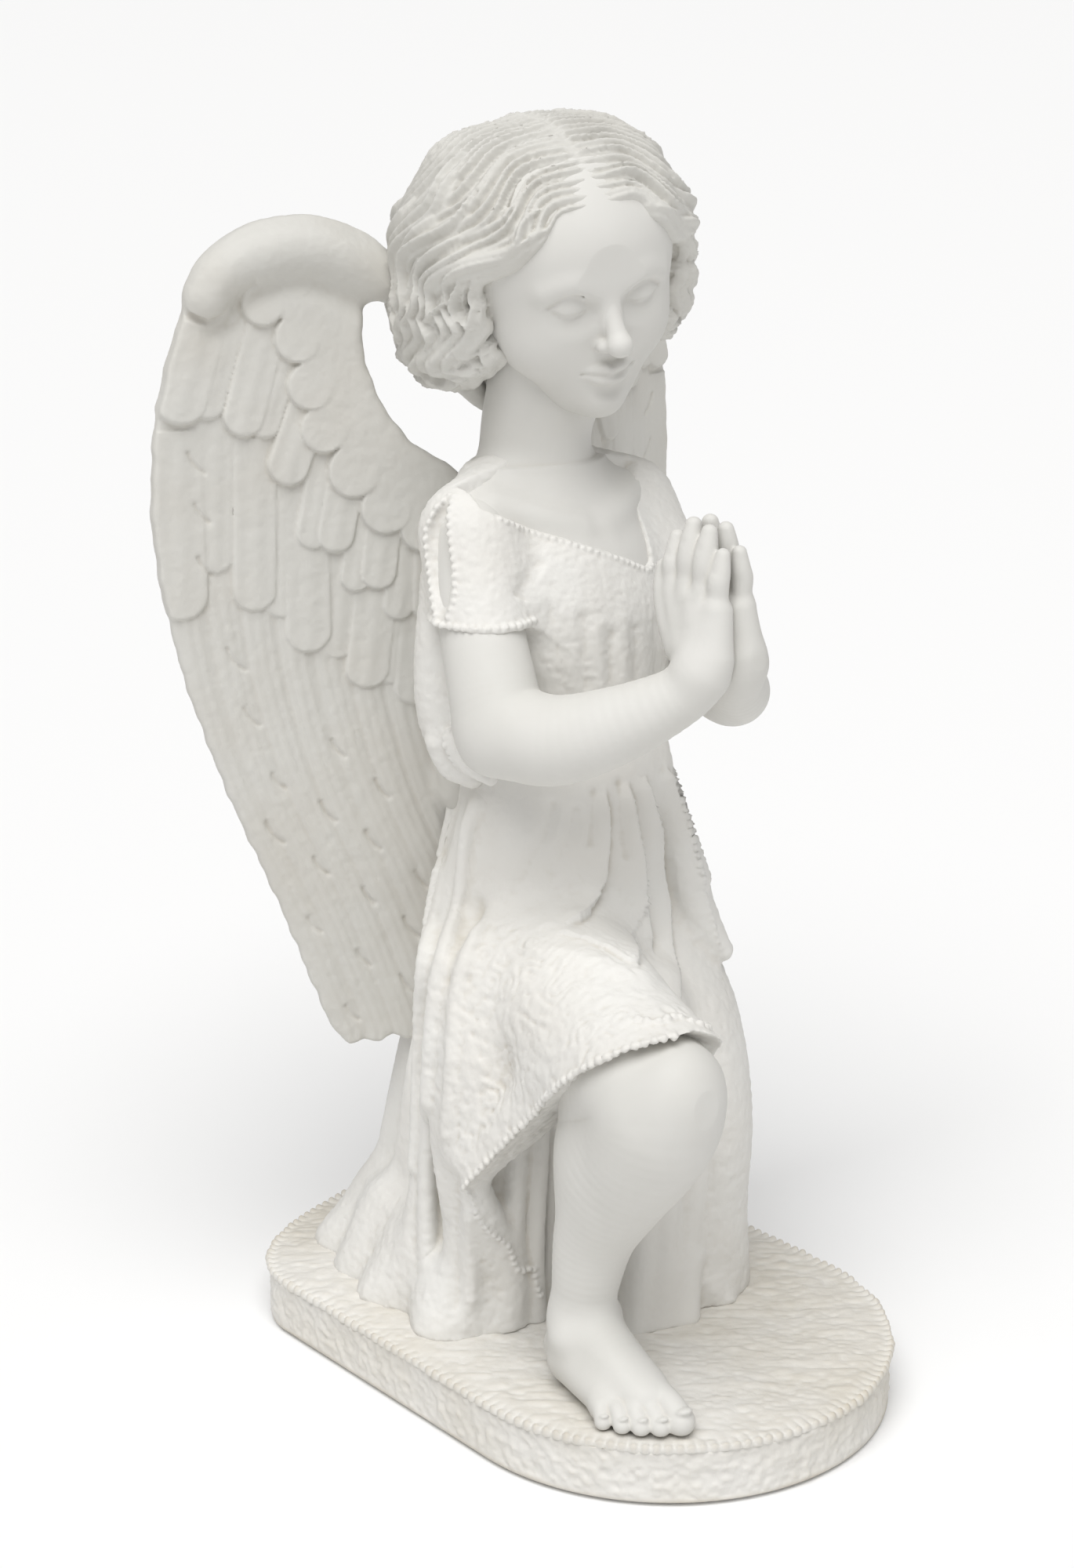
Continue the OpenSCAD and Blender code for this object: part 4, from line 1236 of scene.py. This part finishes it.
def strand(guides, place, side, wave, phase, hook=0.0, start=0.0, end=1.0, steps=36):
    """A wavy line over the hair, at a place among the guides from 0 at the front to the last at the back."""
    u = np.linspace(start, end, steps)
    g = place + wave * np.sin(2 * math.pi * (2.3 * u + phase)) * ease((u - start) / 0.25)
    g = g + hook * ease((u - 0.72) / 0.28) ** 1.5
    g = np.clip(g, 0, len(guides) - 1.001)
    i = np.floor(g).astype(int)
    f = (g - i)[:, None]
    lines = np.stack([curve(guide, 8) for guide in guides])
    at = u * (lines.shape[1] - 1)
    j = np.minimum(np.floor(at).astype(int), lines.shape[1] - 2)
    w = (at - j)[:, None]
    d = ((lines[i, j] * (1 - w) + lines[i, j + 1] * w) * (1 - f)
         + (lines[i + 1, j] * (1 - w) + lines[i + 1, j + 1] * w) * f)
    if side > 0:
        d = d * np.array([-1, 1, 1])
    return u, hair_surface(d), d / np.linalg.norm(d, axis=1, keepdims=True)


def lock(clay, path, phase, wide, tall, sink, strands=2.0, lift=0.0, k=0.4):
    """A lock of hair along a strand: it swells and thins with the waves and tapers at both ends."""
    u, p, n = path
    t = (u - u[0]) / (u[-1] - u[0])
    taper = np.sqrt(np.clip(t * 6, 0.4 if u[0] == 0 else 0.12, 1)) * np.sqrt(np.clip((1 - t) * 5, 0.10, 1))
    swell = 0.80 + 0.20 * np.sin(2 * math.pi * (2.3 * u + phase) + 1.2)
    sink = sink + 0.9 * (1 - ease(u / 0.3))
    rise = lift * np.sin(2 * math.pi * (2.3 * u + phase) + 0.4) ** 2
    line = np.column_stack([p + n * (rise - sink)[:, None],
                            wide * taper * swell * (0.8 + 0.2 * ease(u / 0.4)), tall * taper])
    clay.add(ribbon(line, n, strands=strands), k=k)


def sculpt_hair():
    clay = Clay([-58, -50, -54], [56, 62, 58], 0.58)
    thin = 3.4
    reach = np.array([60.0, 60.0, 60.0])
    clay.add((-reach, reach, lambda x, y, z: mass_distance(x, y, z) + thin))
    # open at the face and under the jaw
    clay.carve(egg([0, -40, -11], [28.0, 36, 36]), k=3)
    clay.carve(egg([0, -16, -42], [25, 30, 19]), k=4)
    rng = np.random.default_rng(5)
    for side in (-1, 1):
        last = len(HANGING) - 1
        for place in np.arange(0.03, last, 0.40):
            phase = 0.10 * place + rng.uniform(-0.14, 0.14)
            path = strand(HANGING, place, side, 0.42, phase, rng.uniform(-0.8, 1.0),
                          end=rng.uniform(0.82, 1.0))
            lock(clay, path, phase, rng.uniform(3.6, 5.2), rng.uniform(4.8, 6.2), 1.5, lift=2.0)
        last = len(SWEPT) - 1
        for place in np.arange(0.0, last, 0.22):
            phase = 0.07 * place + rng.uniform(-0.05, 0.05)
            path = strand(SWEPT, place + rng.uniform(-0.05, 0.05), side, 0.36, phase,
                          rng.uniform(-0.3, 0.6), end=rng.uniform(0.84, 1.0))
            lock(clay, path, phase, rng.uniform(3.2, 5.0), rng.uniform(4.2, 5.2), rng.uniform(2.5, 3.3),
                 lift=1.3, k=0.9)
        for place in np.arange(0.1, last, 0.36):
            phase = 0.07 * place + rng.uniform(-0.09, 0.09)
            path = strand(SWEPT, place, side, 0.50, phase, rng.uniform(-0.6, 0.9), rng.uniform(0.14, 0.42),
                          rng.uniform(0.72, 1.0))
            lock(clay, path, phase, rng.uniform(2.8, 4.6), rng.uniform(4.6, 5.8), rng.uniform(0.8, 1.8),
                 lift=1.8)
        # the curl at the nape
        for x, y, drop in ((29, 12, 0), (26, 20, 3), (18, 28, 3), (9, 33, 3)):
            clay.add(limb(curve([[side * x, y, -22, 6.0], [side * (x - 1), y + 1, -32, 5.2],
                                 [side * (x - 5), y, -40 - drop, 3.8],
                                 [side * (x - 9), y - 3, -46 - drop, 1.6]])), k=1)
    # the parting
    angles = np.radians(np.arange(38, 118, 4))
    part = hair_surface(np.column_stack([0 * angles, -np.cos(angles), np.sin(angles)]))
    clay.carve(limb(np.column_stack([part * 1.01, np.full(len(part), 0.6)])), k=1.6)
    return clay


def hair_relief(points, normals):
    return 0.12 * noise(points, 2.4, 31) + 0.08 * noise(points, 1.2, 32)


# ---------------------------------------------------------------- plinth

PLINTH_L = (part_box("plinth")[1].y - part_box("plinth")[0].y) / MM
PLINTH_W = (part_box("plinth")[1].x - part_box("plinth")[0].x) / MM
BACK_END = 44.0
BEAD_PITCH = 3.6


def plinth_outline(inset, count):
    """Points round the plinth at an even pitch, and the way out at each."""
    r = PLINTH_W / 2 - inset
    a = np.linspace(0, math.pi, 160)
    front = np.stack([-r * np.cos(a), -(PLINTH_L - PLINTH_W) / 2 - r * np.sin(a)], 1)
    back = np.stack([r * np.cos(a), PLINTH_L / 2 - BACK_END + (BACK_END - inset) * np.sin(a)], 1)
    loop = np.vstack([front, back, front[:1]])
    run = np.concatenate([[0], np.cumsum(np.linalg.norm(np.diff(loop, axis=0), axis=1))])
    at = np.linspace(0, run[-1], count, endpoint=False)
    p = np.stack([np.interp(at, run, loop[:, i]) for i in range(2)], 1)
    tangent = np.roll(p, -1, 0) - np.roll(p, 1, 0)
    out = np.stack([tangent[:, 1], -tangent[:, 0]], 1)
    return p, out / np.linalg.norm(out, axis=1, keepdims=True), run[-1]


def make_plinth():
    low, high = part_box("plinth")
    z0, z1 = low.z / MM, high.z / MM
    count = int(1300 / rough)
    p, out, perimeter = plinth_outline(0, count)
    along = np.linspace(0, perimeter, count, endpoint=False)
    beads = round(perimeter / BEAD_PITCH)
    scallop = np.abs(np.cos(math.pi * beads * along / perimeter))          # 1 on a bead, 0 between beads
    rings = []
    wall = np.linspace(z0, z1 - 3.0, int(34 / rough))
    for z in wall:                                                          # the pecked side
        q = np.column_stack([p - out * 1.5, np.full(count, z)])
        peck = 0.6 * noise(q * [1, 1, 1.15], 2.5, 41) + 0.35 * noise(q, 1.4, 42) + 0.45 * noise(q, 9, 43)
        foot = ease((z - z0) / 2.0)
        rings.append(np.column_stack([q[:, :2] + out * (peck * foot)[:, None], q[:, 2]]))
    for a in np.linspace(-70, 90, int(12 / rough) + 1):                     # the beaded rim
        turn_in = math.cos(math.radians(a))
        uneven = 1 + 0.5 * noise(np.column_stack([p, np.zeros(count)]), 6, 44)
        stand = 1.25 * turn_in * (0.1 + 0.9 * scallop) * uneven
        z = z1 - 2.0 + 1.75 * math.sin(math.radians(a)) * (0.5 + 0.5 * scallop * uneven) + 0.5 * (scallop - 1)
        rings.append(np.column_stack([p - out * 1.35 + out * stand[:, None], z]))
    inner_steps = int(120 / rough)
    centre_line = np.clip(p[:, 1], -(PLINTH_L - PLINTH_W) / 2, PLINTH_L / 2 - BACK_END - 4)
    core = np.column_stack([np.zeros(count), centre_line])
    for t in np.linspace(0, 1, inner_steps + 1)[1:]:                        # the rippled top
        flat = (p - out * 2.2) * (1 - t) + core * t
        along = 0.76 * flat[:, 0] - 0.65 * flat[:, 1]
        across = 0.65 * flat[:, 0] + 0.76 * flat[:, 1]
        q = np.column_stack([along, across, np.zeros(count)])
        ripple = 0.62 * noise(q * [0.42, 1, 1], 2.9, 45) + 0.36 * noise(q * [0.6, 1, 1], 1.6, 46)
        swell = 0.7 * noise(q, 17, 47)
        near_rim = 1 - ease(t * inner_steps / 8)
        z = z1 - 1.1 + (ripple + swell) * 0.75 * (1 - 0.6 * near_rim) - 0.5 * near_rim * (1 - scallop)
        rings.append(np.column_stack([flat, np.minimum(z, z1 - 0.1)]))
    bottom = [np.column_stack([p - out * (1.3 + 6 * t), np.full(count, z0)]) for t in (1.0, 0.5)]
    rings = bottom + rings
    points = np.vstack(rings)
    n = count
    i = np.arange(n)
    quads = []
    for r in range(len(rings) - 1):
        quads.append(np.stack([r * n + i, r * n + (i + 1) % n, (r + 1) * n + (i + 1) % n, (r + 1) * n + i],
                              1))
    quads = np.vstack(quads)[:, ::-1]
    # painted shade and a warm stain in the creases; the top of the plinth is made darker as well
    stain_and_shade = np.clip(hollows(points, quads), -1, 1.5)
    top = ease((points[:, 2] - (z1 - 3.0)) / 2)
    stain_and_shade = np.clip(0.8 * stain_and_shade + 0.42 * top, -1, 1.5)
    piece = make_mesh("plinth_casting", points * MM, quads, stain_and_shade)
    piece.data.materials.append(plinth_resin)
    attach(piece, "root")
    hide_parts("plinth")


# ---------------------------------------------------------------- build

make_plinth()
cast("skirt_casting", sculpt_skirt(), ["skirt"], cloth_resin, skirt_relief)
cast("bodice_casting", sculpt_bodice(), ["bodice"], cloth_resin, bodice_relief)
cast("neck_casting", sculpt_neck(), ["head"], skin_resin)
cast("face_casting", sculpt_face(), ["head"], skin_resin, place=head_place)
cast("hair_casting", sculpt_hair(), ["head"], hair_resin, hair_relief, head_place)
cast("right_arm_casting", sculpt_arm(-1), ["right_arm"], skin_resin)
cast("left_arm_casting", sculpt_arm(1), ["left_arm"], skin_resin)
cast("right_leg_casting", sculpt_leg(), ["right_leg"], skin_resin)
wing = sculpt_wing()
cast("right_wing_casting", wing, ["right_wing"], wing_resin, wing_relief, wing_place(-1))
cast("left_wing_casting", wing, ["left_wing"], wing_resin, wing_relief, wing_place(1))

steel = steel_material()
felt = felt_material()
slots = {s["node"]: s["material_slot"] for s in frame["record"]["subparts"]}
for name, node in frame["nodes"].items():
    if slots.get(name) in ("steel", "felt"):
        node.data.materials.clear()
        node.data.materials.append(steel if slots[name] == "steel" else felt)


# ---------------------------------------------------------------- stage, lights and camera

def make_stage():
    material, _, shader = node_material("studio_floor")
    shader.inputs["Base Color"].default_value = (0.90, 0.90, 0.90, 1)
    shader.inputs["Roughness"].default_value = 0.9
    size = 160.0
    mesh = bpy.data.meshes.new("floor")
    mesh.from_pydata([(-size, -size, 0), (size, -size, 0), (size, size, 0), (-size, size, 0)], [],
                     [(0, 1, 2, 3)])
    mesh.materials.append(material)
    floor = bpy.data.objects.new("floor", mesh)
    bpy.context.scene.collection.objects.link(floor)


def area_light(name, place, aim, size, watts):
    data = bpy.data.lights.new(name, "AREA")
    data.shape = "DISK"
    data.size = size
    data.energy = watts
    light = bpy.data.objects.new(name, data)
    light.location = place
    light.rotation_euler = (Vector(aim) - Vector(place)).to_track_quat("-Z", "Y").to_euler()
    bpy.context.scene.collection.objects.link(light)


def make_camera():
    """The photograph's viewpoint: front right of the figure and a little above."""
    azimuth, elevation = math.radians(-40.45), math.radians(16.65)
    back = Vector((math.sin(azimuth) * math.cos(elevation), -math.cos(azimuth) * math.cos(elevation),
                   math.sin(elevation)))
    data = bpy.data.cameras.new("camera")
    data.lens = 61.2
    data.sensor_width = 36.0
    data.sensor_fit = "AUTO"
    camera = bpy.data.objects.new("camera", data)
    camera.location = Vector((-0.5455, -0.6149, 0.4455))
    camera.rotation_euler = (-back).to_track_quat("-Z", "Y").to_euler()
    data.clip_start = 0.01
    data.clip_end = 600.0
    bpy.context.scene.collection.objects.link(camera)
    bpy.context.scene.camera = camera


make_stage()
sun = bpy.data.lights.new("key", "SUN")
sun.energy = 2.85
sun.angle = math.radians(52)
key = bpy.data.objects.new("key", sun)
key.rotation_euler = Vector((0.50, 0.40, -1.2)).to_track_quat("-Z", "Y").to_euler()
bpy.context.scene.collection.objects.link(key)
area_light("fill", (0.5, -2.0, 0.5), (0, 0, 0.2), 1.6, 2)
world = bpy.data.worlds.new("studio")
world.use_nodes = True
world.node_tree.nodes["Background"].inputs[0].default_value = (1.0, 0.99, 0.975, 1)
world.node_tree.nodes["Background"].inputs[1].default_value = 0.30
bpy.context.scene.world = world
bpy.context.scene.view_settings.view_transform = "Standard"
make_camera()
